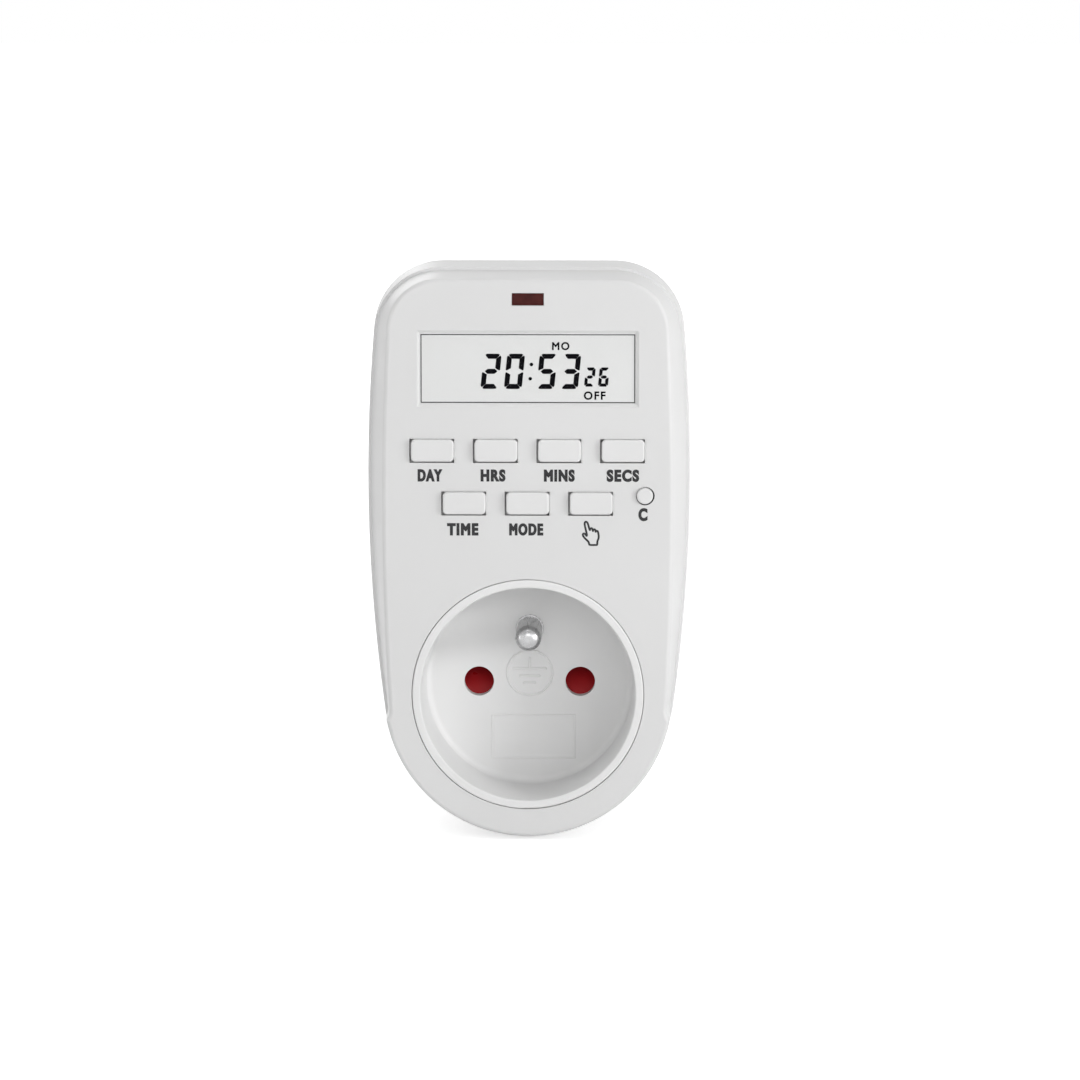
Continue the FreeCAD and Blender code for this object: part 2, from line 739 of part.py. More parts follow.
def window_bevel():
    """The sloping frame cut round the display window."""
    def frame(name, depth, grow):
        width, height = f"window_width / 2 + {grow}", f"window_height / 2 + {grow}"
        return polygon(name, behind(depth), [(f"-({width})", f"window_middle - ({height})"),
                                             (width, f"window_middle - ({height})"),
                                             (width, f"window_middle + {height}"),
                                             (f"-({width})", f"window_middle + {height}")])
    return loft("window_bevel", frame("bevel_front", "-window_bevel", "2 * window_bevel + window_gap"),
                frame("bevel_back", "window_bevel", "window_gap"))


front_cover()


# Rear housing with its plug

def rear_housing():
    outside = housing_loft("rear_outside", "seam_depth", "body_depth")
    back = value(behind("body_depth"))
    outside = rounded("rear_round", outside, "rear_edge_round", lambda edge: lies_at(edge, back))
    seam = value(behind("seam_depth"))
    outside = rounded("rear_seam", outside, "seam_groove", lambda edge: lies_at(edge, seam), "Part::Chamfer")
    room = housing_loft("rear_room", "seam_depth", "body_depth - wall", "wall")
    lip = cut("rear_lip",
              housing_loft("rear_lip_outside", "seam_depth + wall", "seam_depth - lip_length",
                           "wall / 2 + lip_clearance"),
              housing_loft("rear_lip_inside", "seam_depth + wall", "seam_depth - lip_length", "wall"))
    plug = rod("plug_outside", "plug_radius", (behind("body_depth - wall / 2"), "0"))
    plug = rounded("plug_round", plug, "plug_edge_round", lambda edge: lies_at(edge, 0))
    shell = cut("rear_shell", fuse("rear_solid", outside, plug), room)
    tubes = [rod(f"screw_tube_{i}", "screw_well_radius + screw_well_wall",
                 (behind("case_boss_end"), behind("body_depth - wall / 2")), x, z)
             for i, (x, z) in enumerate(CASE_SCREWS)]
    inside = housing_loft("rear_inside", "seam_depth", "body_depth - wall / 2", "wall / 2")
    tubes = common("screw_tubes_inside", fuse("screw_tubes", *tubes), inside)
    posts = [rod(f"power_post_{i}", "board_post_radius",
                 (behind("power_depth + board_thickness"), behind("body_depth - wall / 2")), x, z)
             for i, (x, z) in enumerate(POWER_SCREWS)]
    solid = fuse("rear_with_posts", shell, lip, tubes, *posts)
    pin_x, pin_hole = "contact_spacing / 2", "plug_pin_radius + pin_root + part_clearance"
    plug_end = ("-plug_wall - cut_past", "cut_past")
    grooves = [
        rod("plug_room", "plug_radius - plug_wall", (behind("body_depth - wall - cut_past"), "-plug_wall")),
        rod("live_pin_hole", pin_hole, plug_end, pin_x),
        rod("neutral_pin_hole", pin_hole, plug_end, f"-({pin_x})"),
        rod("earth_hole", "earth_hole_radius", plug_end, "0", "earth_offset"),
        block("label_recess", centred("0", "label_recess_width"),
              (behind("body_depth - label_recess_depth"), behind("body_depth + cut_past")),
              centred("label_recess_middle", "label_recess_height")),
    ]
    for side in (-1, 1):
        name = "right" if side > 0 else "left"
        near, far = f"{side} * (plug_radius - guide_groove_depth)", f"{side} * {BEYOND}"
        grooves.append(block(f"guide_groove_{name}", (near, far) if side > 0 else (far, near),
                             (behind("body_depth"), "cut_past"), centred("0", "guide_groove_width")))
        name = "upper" if side > 0 else "lower"
        near = f"{side} * (plug_radius - earth_groove_depth)"
        grooves.append(block(f"earth_groove_{name}", centred("0", "earth_groove_width"),
                             (behind("body_depth"), "cut_past"), (near, far) if side > 0 else (far, near)))
        slot = (f"{side} * (plug_radius - plug_wall - cut_past)", f"{side} * plug_radius")
        grooves.append(block(f"earth_slot_{name}",
                             centred("0", "earth_strip_width + 2 * earth_slot_clearance"),
                             (behind("body_depth"), behind("body_depth + 2 * strip")),
                             slot if side > 0 else slot[::-1]))
    for i, (x, z) in enumerate(CASE_SCREWS):
        grooves.append(rod(f"screw_well_{i}", "screw_well_radius",
                           (behind("case_boss_end + screw_shelf"), behind("body_depth + cut_past")), x, z))
        grooves.append(rod(f"screw_hole_{i}", "case_screw_radius + case_hole_clearance",
                           (behind("case_boss_end - cut_past"),
                            behind("case_boss_end + screw_shelf + cut_past")), x, z))
    grooves += [rod(f"power_post_hole_{i}", BOARD_HOLE,
                    (behind("power_depth"), behind("power_depth + board_screw_length + screw_tip_gap")), x, z)
                for i, (x, z) in enumerate(POWER_SCREWS)]
    return finish("rear_housing", cut("rear_housing", solid, *grooves))


rear_housing()


# Turned parts: bodies that are one revolved profile

def origin_plane(body, role):
    return next(feature for feature in body.Origin.OriginFeatures if feature.Role == role)


def turned(name, profile, x="0", z="0"):
    """A body revolved about the Y axis from a profile of (radius, y) formulas, set at x, z."""
    body = doc.addObject("PartDesign::Body", name)
    sketch = body.newObject("Sketcher::SketchObject", name + "_profile")
    sketch.AttachmentSupport = (origin_plane(body, "XY_Plane"), [""])
    sketch.MapMode = "FlatFace"
    points = [FreeCAD.Vector(value(r), value(y), 0) for r, y in profile]
    count = len(points)
    sketch.addGeometry([Part.LineSegment(points[i], points[(i + 1) % count]) for i in range(count)], False)
    for i in range(count):
        sketch.addConstraint(Sketcher.Constraint("Coincident", i, 2, (i + 1) % count, 1))
    for i, (r, y) in enumerate(profile):
        for kind, formula, number in (("DistanceX", r, points[i].x), ("DistanceY", y, points[i].y)):
            index = sketch.addConstraint(Sketcher.Constraint(kind, -1, 1, i, 1, number))
            sketch.setExpression(f"Constraints[{index}]", cells(formula))
    revolution = body.newObject("PartDesign::Revolution", name + "_turned")
    revolution.Profile = sketch
    revolution.ReferenceAxis = (origin_plane(body, "Y_Axis"), [""])
    revolution.Angle = 360
    body.Tip = revolution
    place(body, x, "0", z)
    doc.recompute()
    return body


def soften(body, name, radius, wanted):
    """A fillet feature on the body's edges that the test picks."""
    fillet = body.newObject("PartDesign::Fillet", name)
    base = fillet.BaseFeature
    names = [f"Edge{i}" for i, edge in enumerate(base.Shape.Edges, start=1) if wanted(edge)]
    fillet.Base = (base, names)
    fillet.setExpression("Radius", cells(radius))
    body.Tip = fillet
    doc.recompute()
    return fillet


def circles(body, name, y, spots, radius):
    """A sketch of equal circles on a plane of the body that faces the front at y."""
    sketch = body.newObject("Sketcher::SketchObject", name)
    sketch.AttachmentSupport = (origin_plane(body, "XZ_Plane"), [""])
    sketch.MapMode = "FlatFace"
    sketch.setExpression("AttachmentOffset.Base.z", cells(f"-({y})"))
    for i, (x, z) in enumerate(spots):
        middle = FreeCAD.Vector(value(x), value(z), 0)
        sketch.addGeometry(Part.Circle(middle, FreeCAD.Vector(0, 0, 1), value(radius)), False)
        for kind, formula, number in (("DistanceX", x, middle.x), ("DistanceY", z, middle.y)):
            index = sketch.addConstraint(Sketcher.Constraint(kind, -1, 1, i, 3, number))
            sketch.setExpression(f"Constraints[{index}]", cells(formula))
        index = sketch.addConstraint(Sketcher.Constraint("Radius", i, value(radius)))
        sketch.setExpression(f"Constraints[{index}]", cells(radius))
    return sketch


def pocket(body, name, sketch, length):
    """Cuts the sketch into the body, from its plane towards the back."""
    doc.recompute()
    feature = body.newObject("PartDesign::Pocket", name)
    feature.Profile = sketch
    feature.setExpression("Length", cells(length))
    before = feature.BaseFeature.Shape.Volume
    body.Tip = feature
    doc.recompute()
    if feature.Shape.Volume >= before:
        raise RuntimeError(f"{name} cuts nothing")
    return feature


def pad(body, name, sketch, length, backwards=False):
    feature = body.newObject("PartDesign::Pad", name)
    feature.Profile = sketch
    feature.setExpression("Length", cells(length))
    feature.Reversed = backwards
    body.Tip = feature
    doc.recompute()
    return feature


def socket_cup():
    """The round well, its rim, its floor with the pin apertures, and the collar that holds it."""
    back = "well_back"
    collar_back = "socket_collar_depth + socket_collar_thickness"
    body = turned("socket_cup", [
        ("0", behind(back)), ("rim_radius", behind(back)), ("rim_radius", behind(collar_back)),
        ("socket_collar_radius", behind(collar_back)),
        ("socket_collar_radius", behind("socket_collar_depth")),
        ("rim_radius", behind("socket_collar_depth")), ("rim_radius", behind("-rim_proud")),
        ("mouth_radius", behind("-rim_proud")), ("well_floor_radius", behind("well_depth")),
        ("0", behind("well_depth")),
    ])
    rim, floor = value(behind("-rim_proud")), value(behind("well_depth"))

    def ring(edge, y, radius):
        return lies_at(edge, y) and abs(edge.BoundBox.XMax - radius) < RIM_MATCH

    soften(body, "mouth_edge", "mouth_round", lambda edge: ring(edge, rim, value("mouth_radius")))
    soften(body, "rim_edge", "rim_round", lambda edge: ring(edge, rim, value("rim_radius")))
    soften(body, "floor_edge", "floor_round", lambda edge: ring(edge, floor, value("well_floor_radius")))
    ears = circles(body, "ear_outlines", behind(collar_back), EARS, "ear_radius")
    pad(body, "ears", ears, "socket_collar_thickness")
    posts = circles(body, "carrier_post_outlines", behind(back),
                    [("-carrier_post_offset", "0"), ("carrier_post_offset", "0")], "carrier_post_radius")
    pad(body, "carrier_posts", posts, "shutter_thickness + 2 * shutter_clearance", backwards=True)
    through = BEYOND
    pocket(body, "ear_holes", circles(body, "ear_hole_outlines", behind("0"), EARS,
                                      BOARD_HOLE), through)
    apertures = [("-contact_spacing / 2", "0"), ("contact_spacing / 2", "0")]
    pocket(body, "apertures", circles(body, "aperture_outlines", behind("well_depth - cut_past"), apertures,
                                      "aperture_radius"), "well_floor_thickness + 2 * cut_past")
    pocket(body, "earth_pin_hole", circles(body, "earth_pin_hole_outline", behind("well_depth - cut_past"),
                                           [("0", "earth_offset")],
                                           "earth_pin_radius + pin_root + part_clearance"),
           "well_floor_thickness + 2 * cut_past")
    screw_tips = behind("carrier_back - board_screw_length - screw_tip_gap")
    pocket(body, "carrier_post_holes", circles(body, "carrier_post_hole_outlines", screw_tips,
                                               [("-carrier_post_offset", "0"), ("carrier_post_offset", "0")],
                                               BOARD_HOLE), through)
    return finish("socket_cup", body)


socket_cup()


def round_tip(body, y, radius):
    soften(body, body.Name + "_tip", radius, lambda edge: lies_at(edge, value(y)))


def plug_pin(node, x):
    tail = "-(plug_wall + plug_pin_collar + plug_pin_tail)"
    body = turned(node, [
        ("0", tail), ("plug_pin_tail_radius", tail),
        ("plug_pin_tail_radius", "-(plug_wall + plug_pin_collar)"),
        ("plug_pin_collar_radius", "-(plug_wall + plug_pin_collar)"),
        ("plug_pin_collar_radius", "-plug_wall"), ("plug_pin_radius + pin_root", "-plug_wall"),
        ("plug_pin_radius + pin_root", "0"), ("plug_pin_radius", "0"),
        ("plug_pin_radius", "plug_pin_length"), ("0", "plug_pin_length"),
    ], x=x)
    round_tip(body, "plug_pin_length", "plug_pin_tip_round")
    return finish(node, body)


plug_pin("live_plug_pin", "contact_spacing / 2")
plug_pin("neutral_plug_pin", "-contact_spacing / 2")


def earth_pin():
    seat = behind("well_back")
    collar = f"{seat} + earth_pin_collar"
    tip, root = behind("well_depth - earth_pin_length"), behind("well_depth")
    body = turned("earth_pin", [
        ("0", tip), ("earth_pin_radius", tip), ("earth_pin_radius", root),
        ("earth_pin_radius + pin_root", root), ("earth_pin_radius + pin_root", seat),
        ("earth_pin_collar_radius", seat), ("earth_pin_collar_radius", collar),
        ("earth_pin_tail_radius", collar), ("earth_pin_tail_radius", f"{collar} + earth_pin_tail"),
        ("0", f"{collar} + earth_pin_tail"),
    ], z="earth_offset")
    round_tip(body, tip, "earth_pin_tip_round")
    return finish("earth_pin", body)


earth_pin()


# Screws, whose cross slot and rounding are shares of the head

SLOT_WIDTH = 0.22
SLOT_REACH = 0.62
SLOT_FLOOR = 0.4
HEAD_ROUND = 0.35


def screw(name, x, z, seat, radius, length, head_radius, head_height, side=1):
    """A pan-head screw whose head rests on seat and stands towards the back, or the front if side is -1."""
    tip, top = f"{seat} - ({side}) * ({length})", f"{seat} + ({side}) * ({head_height})"
    shank_y = (tip, seat) if side > 0 else (seat, tip)
    head_y = (seat, top) if side > 0 else (top, seat)
    shank = rod(name + "_shank", radius, shank_y, x, z)
    head = rod(name + "_head", head_radius, head_y, x, z)
    slot = f"{SLOT_WIDTH} * ({head_radius})"
    reach = f"{SLOT_REACH} * ({head_radius})"
    floor = f"{seat} + ({side}) * {SLOT_FLOOR} * ({head_height})"
    slot_y = (floor, f"{top} + cut_past") if side > 0 else (f"{top} - cut_past", floor)
    crosses = [block(name + "_slot_a", centred(x, f"2 * ({reach})"), slot_y, centred(z, f"2 * ({slot})")),
               block(name + "_slot_b", centred(x, f"2 * ({slot})"), slot_y, centred(z, f"2 * ({reach})"))]
    head = rounded(name + "_dome", head, f"{HEAD_ROUND} * ({head_height})",
                   lambda edge: lies_at(edge, value(top)))
    return cut(name, fuse(name + "_blank", shank, head), *crosses)


def small_screw(name, x, z, seat, side=1):
    return screw(name, x, z, seat, "board_screw_radius", "board_screw_length", "board_screw_head",
                 "board_screw_head_height", side)


finish("case_screws", group("case_screws", *[
    screw(f"case_screw_{i}", x, z, behind("case_boss_end + screw_shelf"), "case_screw_radius",
          "case_screw_length", "case_screw_head_radius", "case_screw_head_height")
    for i, (x, z) in enumerate(CASE_SCREWS)]))
finish("socket_screws", group("socket_screws", *[
    small_screw(f"socket_screw_{i}", x, z, behind("socket_collar_depth + socket_collar_thickness"))
    for i, (x, z) in enumerate(EARS)]))
finish("control_board_screws", group("control_board_screws", *[
    small_screw(f"board_screw_{i}", x, z, behind("board_depth + board_thickness"))
    for i, (x, z) in enumerate(BOARD_SCREWS)]))
finish("power_board_screws", group("power_board_screws", *[
    small_screw(f"power_screw_{i}", x, z, behind("power_depth"), side=-1)
    for i, (x, z) in enumerate(POWER_SCREWS)]))
finish("carrier_screws", group("carrier_screws", *[
    small_screw(f"carrier_screw_{i}", f"{side} * carrier_post_offset", "0", behind("carrier_back"))
    for i, side in enumerate((-1, 1))]))


# Child shutter, its spring and the contact carrier behind it

SHUTTER_FRONT = "well_back + shutter_clearance"
SHUTTER_BACK = f"{SHUTTER_FRONT} + shutter_thickness"


def prism_along_x(name, corners, half_length):
    """A solid of the given (y, z) corners, drawn out evenly to both sides."""
    body = doc.addObject("PartDesign::Body", name)
    sketch = body.newObject("Sketcher::SketchObject", name + "_profile")
    sketch.AttachmentSupport = (origin_plane(body, "YZ_Plane"), [""])
    sketch.MapMode = "FlatFace"
    points = [FreeCAD.Vector(value(y), value(z), 0) for y, z in corners]
    count = len(points)
    sketch.addGeometry([Part.LineSegment(points[i], points[(i + 1) % count]) for i in range(count)], False)
    for i in range(count):
        sketch.addConstraint(Sketcher.Constraint("Coincident", i, 2, (i + 1) % count, 1))
    for i, (y, z) in enumerate(corners):
        for kind, formula, number in (("DistanceX", y, points[i].x), ("DistanceY", z, points[i].y)):
            index = sketch.addConstraint(Sketcher.Constraint(kind, -1, 1, i, 1, number))
            sketch.setExpression(f"Constraints[{index}]", cells(formula))
    feature = pad(body, name + "_pad", sketch, f"2 * ({half_length})")
    feature.Midplane = True
    doc.recompute()
    return body


SHUTTER_FOOT = "-(shutter_reach + shutter_foot)"
finish("shutter", prism_along_x("shutter", [
    (behind(SHUTTER_FRONT), SHUTTER_FOOT), (behind(SHUTTER_BACK), SHUTTER_FOOT),
    (behind(SHUTTER_BACK), "shutter_reach"), (f"{behind(SHUTTER_BACK)} - shutter_lip", "shutter_reach"),
    (behind(SHUTTER_FRONT), "-shutter_reach"),
], "shutter_half_width"))


def arc_between(start, corner, end):
    """The arc that touches both legs of a corner, which are equally long."""
    middle = (start + end) * 0.5
    half = (end - start).Length / 2
    leg = (corner - start).Length
    rise = half * math.tan(math.acos(half / leg) / 2)
    outward = corner - middle
    outward.normalize()
    return Part.Arc(start, middle + outward * rise, end).toShape()


def coil_path(radius, bottom, top, turns):
    """A coil about Z as pairs of tangent arcs, one pair for each half turn."""
    pitch = (top - bottom) / turns

    def spot(half_turns):
        angle = math.pi * half_turns
        height = bottom + pitch * half_turns / 2
        point = FreeCAD.Vector(radius * math.cos(angle), radius * math.sin(angle), height)
        ahead = FreeCAD.Vector(-radius * math.sin(angle), radius * math.cos(angle), pitch / (2 * math.pi))
        ahead.normalize()
        return point, ahead

    edges = []
    for i in range(int(round(2 * turns))):
        (here, ahead), (there, onward) = spot(i), spot(i + 1)
        step, both = there - here, ahead + onward
        spread = 2 * (1 - ahead.dot(onward))
        leg = (-step.dot(both) + math.sqrt(step.dot(both) ** 2 + spread * step.dot(step))) / spread
        joint = (here + there + (ahead - onward) * leg) * 0.5
        edges.append(arc_between(here, here + ahead * leg, joint))
        edges.append(arc_between(joint, there - onward * leg, there))
    return Part.Wire(edges)


def shutter_spring():
    """A coil spring that pushes the shutter up, between its seat and the shutter's foot."""
    wire = value("spring_wire") / 2
    path = coil_path(value("spring_radius"), value("-spring_seat_height") + wire,
                     value(SHUTTER_FOOT) - wire, value("spring_turns"))
    first = path.Edges[0]
    section = Part.Wire([Part.makeCircle(wire, first.valueAt(first.FirstParameter),
                                         first.tangentAt(first.FirstParameter))])
    coil = path.makePipeShell([section], True, False)
    middle_y = value(behind(f"{SHUTTER_FRONT} + shutter_thickness / 2"))
    coil.translate(FreeCAD.Vector(0, middle_y, 0))
    spring = doc.addObject("Part::Feature", "shutter_spring")
    spring.Shape = coil
    return finish("shutter_spring", spring)


shutter_spring()


def contact_carrier():
    """The moulding behind the shutter: its back plate, side rails, spring seat and two chambers."""
    front = "carrier_front"
    plate = block("carrier_plate_block", ("-carrier_half_width", "carrier_half_width"),
                  (behind(front), behind("carrier_back")), ("-carrier_bottom", "carrier_top"))
    disc = rod("carrier_disc", "rim_radius - carrier_rim_gap", (behind("well_depth"), behind("body_depth")))
    rails = []
    for side in (-1, 1):
        low = "shutter_half_width + shutter_clearance"
        high = f"{low} + rail_wall"
        x = (low, high) if side > 0 else (f"-({high})", f"-({low})")
        rails.append(block(f"carrier_rail_{side + 1}", x, (behind(SHUTTER_FRONT), behind(front)),
                           (f"{SHUTTER_FOOT} - shutter_travel", "carrier_top")))
    seat = block("spring_seat", centred("0", "spring_seat_width"), (behind(SHUTTER_FRONT), behind(front)),
                 ("-carrier_bottom", "-spring_seat_height"))
    through = (behind(f"{front} - cut_past"), behind("carrier_back + cut_past"))
    chambers, holes = [], []
    for side in (-1, 1):
        x = f"{side} * contact_spacing / 2"
        chambers.append(block(f"chamber_{side + 1}", centred(x, "chamber_width + 2 * chamber_wall"),
                              (behind("carrier_back"), behind("carrier_back + chamber_depth")),
                              centred("0", "chamber_height + 2 * chamber_wall")))
        holes.append(block(f"chamber_hole_{side + 1}", centred(x, "chamber_width"),
                           (behind("carrier_back"), behind("body_depth")), centred("0", "chamber_height")))
        holes.append(rod(f"carrier_pin_hole_{side + 1}", "aperture_radius + carrier_hole_clearance",
                         through, x))
        holes.append(rod(f"carrier_screw_hole_{side + 1}", BOARD_HOLE, through,
                         f"{side} * carrier_post_offset"))
    holes.append(block("outlet_bar_slot",
                       centred("contact_spacing / 2", "outlet_bar_width + 2 * bar_slot_clearance"),
                       (behind("outlet_bar_depth - bar_slot_clearance"),
                        behind("outlet_bar_depth + strip + bar_slot_clearance")), ("0", "carrier_top")))
    solid = fuse("carrier_blank", common("carrier_round", plate, disc), *rails, seat, *chambers)
    return finish("contact_carrier", cut("contact_carrier", solid, *holes))


contact_carrier()


# Contacts and strips

CONTACT_FRONT = "carrier_back + contact_seat_gap"
CONTACT_BACK = f"{CONTACT_FRONT} + contact_length"


def contact_clip(node, x):
    """Two leaves that grip a plug's pin, joined behind by a bridge."""
    half = "leaf_gap / 2"
    width = centred(x, "contact_width")
    depth = (behind(CONTACT_FRONT), behind(CONTACT_BACK))
    upper = block(node + "_upper", width, depth, (half, f"{half} + leaf"))
    lower = block(node + "_lower", width, depth, (f"-({half} + leaf)", f"-({half})"))
    bridge = block(node + "_bridge", width, (behind(f"{CONTACT_BACK} - leaf"), behind(CONTACT_BACK)),
                   (f"-({half} + leaf)", f"{half} + leaf"))
    return finish(node, fuse(node, upper, lower, bridge))


contact_clip("live_contact", "contact_spacing / 2")
contact_clip("neutral_contact", "-contact_spacing / 2")


def live_outlet_bar():
    """The strip from the relay's side of the power board down to the live contact."""
    width = centred("contact_spacing / 2", "outlet_bar_width")
    rise = block("outlet_rise", width, (behind("outlet_bar_depth"), behind("outlet_bar_depth + strip")),
                 ("leaf_gap / 2 + leaf", "outlet_foot_height"))
    foot = block("outlet_foot", width,
                 (behind("outlet_bar_depth"), behind("power_depth + board_thickness + foot_reach")),
                 ("outlet_foot_height - strip", "outlet_foot_height"))
    return finish("live_outlet_bar", fuse("live_outlet_bar", rise, foot))


live_outlet_bar()

PIN_END = "-(plug_wall + plug_pin_collar + plug_pin_tail)"
BAR_DEPTH = "power_depth + board_thickness + bar_board_gap"


def inlet_bar(node, x, with_branch):
    """The strip from a plug pin's tail up to the power board, and across to a contact if it has a branch."""
    width = centred(x, "bar_width")
    solids = [
        block(node + "_pad", width, (f"{PIN_END} - strip", PIN_END),
              ("-plug_pin_tail_radius", "bar_height_in_plug")),
        block(node + "_leg", width, (behind(BAR_DEPTH), PIN_END),
              ("bar_height_in_plug - strip", "bar_height_in_plug")),
        block(node + "_rise", width, (behind(BAR_DEPTH), behind(f"{BAR_DEPTH} + strip")),
              ("bar_height_in_plug - strip", "inlet_foot_height")),
        block(node + "_foot", width, (behind("power_depth - foot_reach"), behind(f"{BAR_DEPTH} + strip")),
              ("inlet_foot_height - strip", "inlet_foot_height")),
    ]
    if with_branch:
        solids.append(block(node + "_branch", width, (behind(CONTACT_BACK), PIN_END), ("0", "strip")))
    return finish(node, fuse(node, *solids))


inlet_bar("live_inlet_bar", "contact_spacing / 2", False)
inlet_bar("neutral_bar", "-contact_spacing / 2", True)

EARTH_TAIL = f"({behind('well_back')} + earth_pin_collar + earth_pin_tail)"
EARTH_BASE = "(-plug_height + earth_frame_gap)"
ARM_OUTER = "(plug_radius - earth_arm_inset)"


def earth_strap():
    """The strip from the earth pin's tail back to the plug's earth frame."""
    width = centred("0", "earth_strip_width")
    drop = block("earth_strap_drop", width, (EARTH_TAIL, f"{EARTH_TAIL} + strip"),
                 ("earth_offset - earth_pin_tail_radius", "earth_strap_height"))
    run = block("earth_strap_run", width, (EARTH_TAIL, EARTH_BASE),
                ("earth_strap_height - strip", "earth_strap_height"))
    return finish("earth_strap", fuse("earth_strap", drop, run))


def earth_clip_frame():
    """The spring strip across the plug's root, with one arm in each of the plug's earth grooves."""
    base = block("earth_frame_base", centred("0", "earth_strip_width"), (EARTH_BASE, f"{EARTH_BASE} + strip"),
                 (f"-{ARM_OUTER}", ARM_OUTER))
    upper = (f"{ARM_OUTER} - strip", ARM_OUTER)
    lower = (f"-{ARM_OUTER}", f"-({ARM_OUTER} - strip)")
    arms = [block(f"earth_arm_{name}", centred("0", "earth_arm_width"), (EARTH_BASE, "-earth_arm_end"), z)
            for name, z in (("lower", lower), ("upper", upper))]
    return finish("earth_clip_frame", fuse("earth_clip_frame", base, *arms))


def earth_receptacle():
    """The split tube behind the plug's earth hole."""
    base = f"{EARTH_BASE} + strip"
    mouth = "-(plug_wall + receptacle_gap)"
    tube = rod("receptacle_outside", "receptacle_radius", (base, mouth), "0", "earth_offset")
    bore = rod("receptacle_hole", "receptacle_bore", (f"{base} + strip", "cut_past"), "0", "earth_offset")
    slot = block("receptacle_split", centred("0", "receptacle_slot"),
                 (f"{base} + receptacle_root", "cut_past"), centred("earth_offset", "4 * receptacle_radius"))
    return finish("earth_receptacle", cut("earth_receptacle", tube, bore, slot))


earth_strap()
earth_clip_frame()
earth_receptacle()


# Display

def display_window():
    """The clear pane, with the flange that holds it behind the cover's wall."""
    pane = block("window_pane", centred("0", "window_width"), (behind("window_bevel"), behind("wall")),
                 centred("window_middle", "window_height"))
    flange = block("window_rebate", centred("0", "window_width + 2 * window_flange"),
                   (behind("wall"), behind("wall + window_flange_thickness")),
                   centred("window_middle", "window_height + 2 * window_flange"))
    return finish("display_window", fuse("display_window", pane, flange))


def display_parts():
    """The display panel, its frame on the control board, and the rubber strips that join the two."""
    back = "panel_depth + panel_thickness"
    finish("display_panel", block("display_panel", centred("0", "panel_width"),
                                  (behind("panel_depth"), behind(back)),
                                  centred("window_middle", "panel_height")))
    grow = "2 * (frame_clearance + frame_wall)"
    frame = block("frame_outside", centred("0", f"panel_width + {grow}"),
                  (behind("panel_depth - frame_clearance"), behind("board_depth")),
                  centred("window_middle", f"panel_height + {grow}"))
    nest = block("frame_nest", centred("0", "panel_width + 2 * frame_clearance"),
                 (behind("panel_depth - cut_past"), behind(back)),
                 centred("window_middle", "panel_height + 2 * frame_clearance"))
    passage = block("frame_passage", centred("0", "panel_width - 2 * frame_shelf"),
                    (behind(back), behind("board_depth + cut_past")),
                    centred("window_middle", "panel_height - 2 * frame_shelf"))
    finish("display_frame", cut("display_frame", frame, nest, passage))
    strips = [block(f"contact_strip_{side + 1}",
                    centred("0", "panel_width - 2 * (frame_shelf + strip_end_gap)"),
                    (behind(back), behind("board_depth")),
                    centred(f"window_middle + {side} * strip_offset", "strip_thickness")) for side in (-1, 1)]
    finish("contact_strips", group("contact_strips", *strips))


display_window()
display_parts()


def indicator():
    """The dark red pane at the top of the face, and the lamp behind it."""
    pane = block("lamp_pane", centred("0", "lamp_window_width"),
                 (behind("lamp_window_recess"), behind("wall")),
                 centred("lamp_window_middle", "lamp_window_height"))
    flange = block("lamp_pane_flange", centred("0", "lamp_window_width + 2 * lamp_window_flange"),
                   (behind("wall"), behind("wall + lamp_window_flange_thickness")),
                   centred("lamp_window_middle", "lamp_window_height + 2 * lamp_window_flange"))
    finish("indicator_window", fuse("indicator_window", pane, flange))
    lamp = rod("lamp_body", "lamp_radius", (behind("lamp_front"), behind("board_depth")),
               "0", "lamp_window_middle")
    lamp = rounded("indicator_lamp", lamp, "lamp_dome",
                   lambda edge: lies_at(edge, value(behind("lamp_front"))))
    finish("indicator_lamp", lamp)


indicator()


# Keys, their switches and plungers

FLANGE_FRONT = "wall + key_rest_gap"


def rectangle(body, name, y, x, z, width, height):
    """A rectangle sketch on a plane of the body that faces the front at y."""
    sketch = body.newObject("Sketcher::SketchObject", name)
    sketch.AttachmentSupport = (origin_plane(body, "XZ_Plane"), [""])
    sketch.MapMode = "FlatFace"
    sketch.setExpression("AttachmentOffset.Base.z", cells(f"-({y})"))
    left, right = centred(x, width)
    bottom, top = centred(z, height)
    corners = [(left, bottom), (right, bottom), (right, top), (left, top)]
    points = [FreeCAD.Vector(value(a), value(b), 0) for a, b in corners]
    sketch.addGeometry([Part.LineSegment(points[i], points[(i + 1) % 4]) for i in range(4)], False)
    for i in range(4):
        sketch.addConstraint(Sketcher.Constraint("Coincident", i, 2, (i + 1) % 4, 1))
    for i, (a, b) in enumerate(corners):
        for kind, formula, number in (("DistanceX", a, points[i].x), ("DistanceY", b, points[i].y)):
            index = sketch.addConstraint(Sketcher.Constraint(kind, -1, 1, i, 1, number))
            sketch.setExpression(f"Constraints[{index}]", cells(formula))
    return sketch


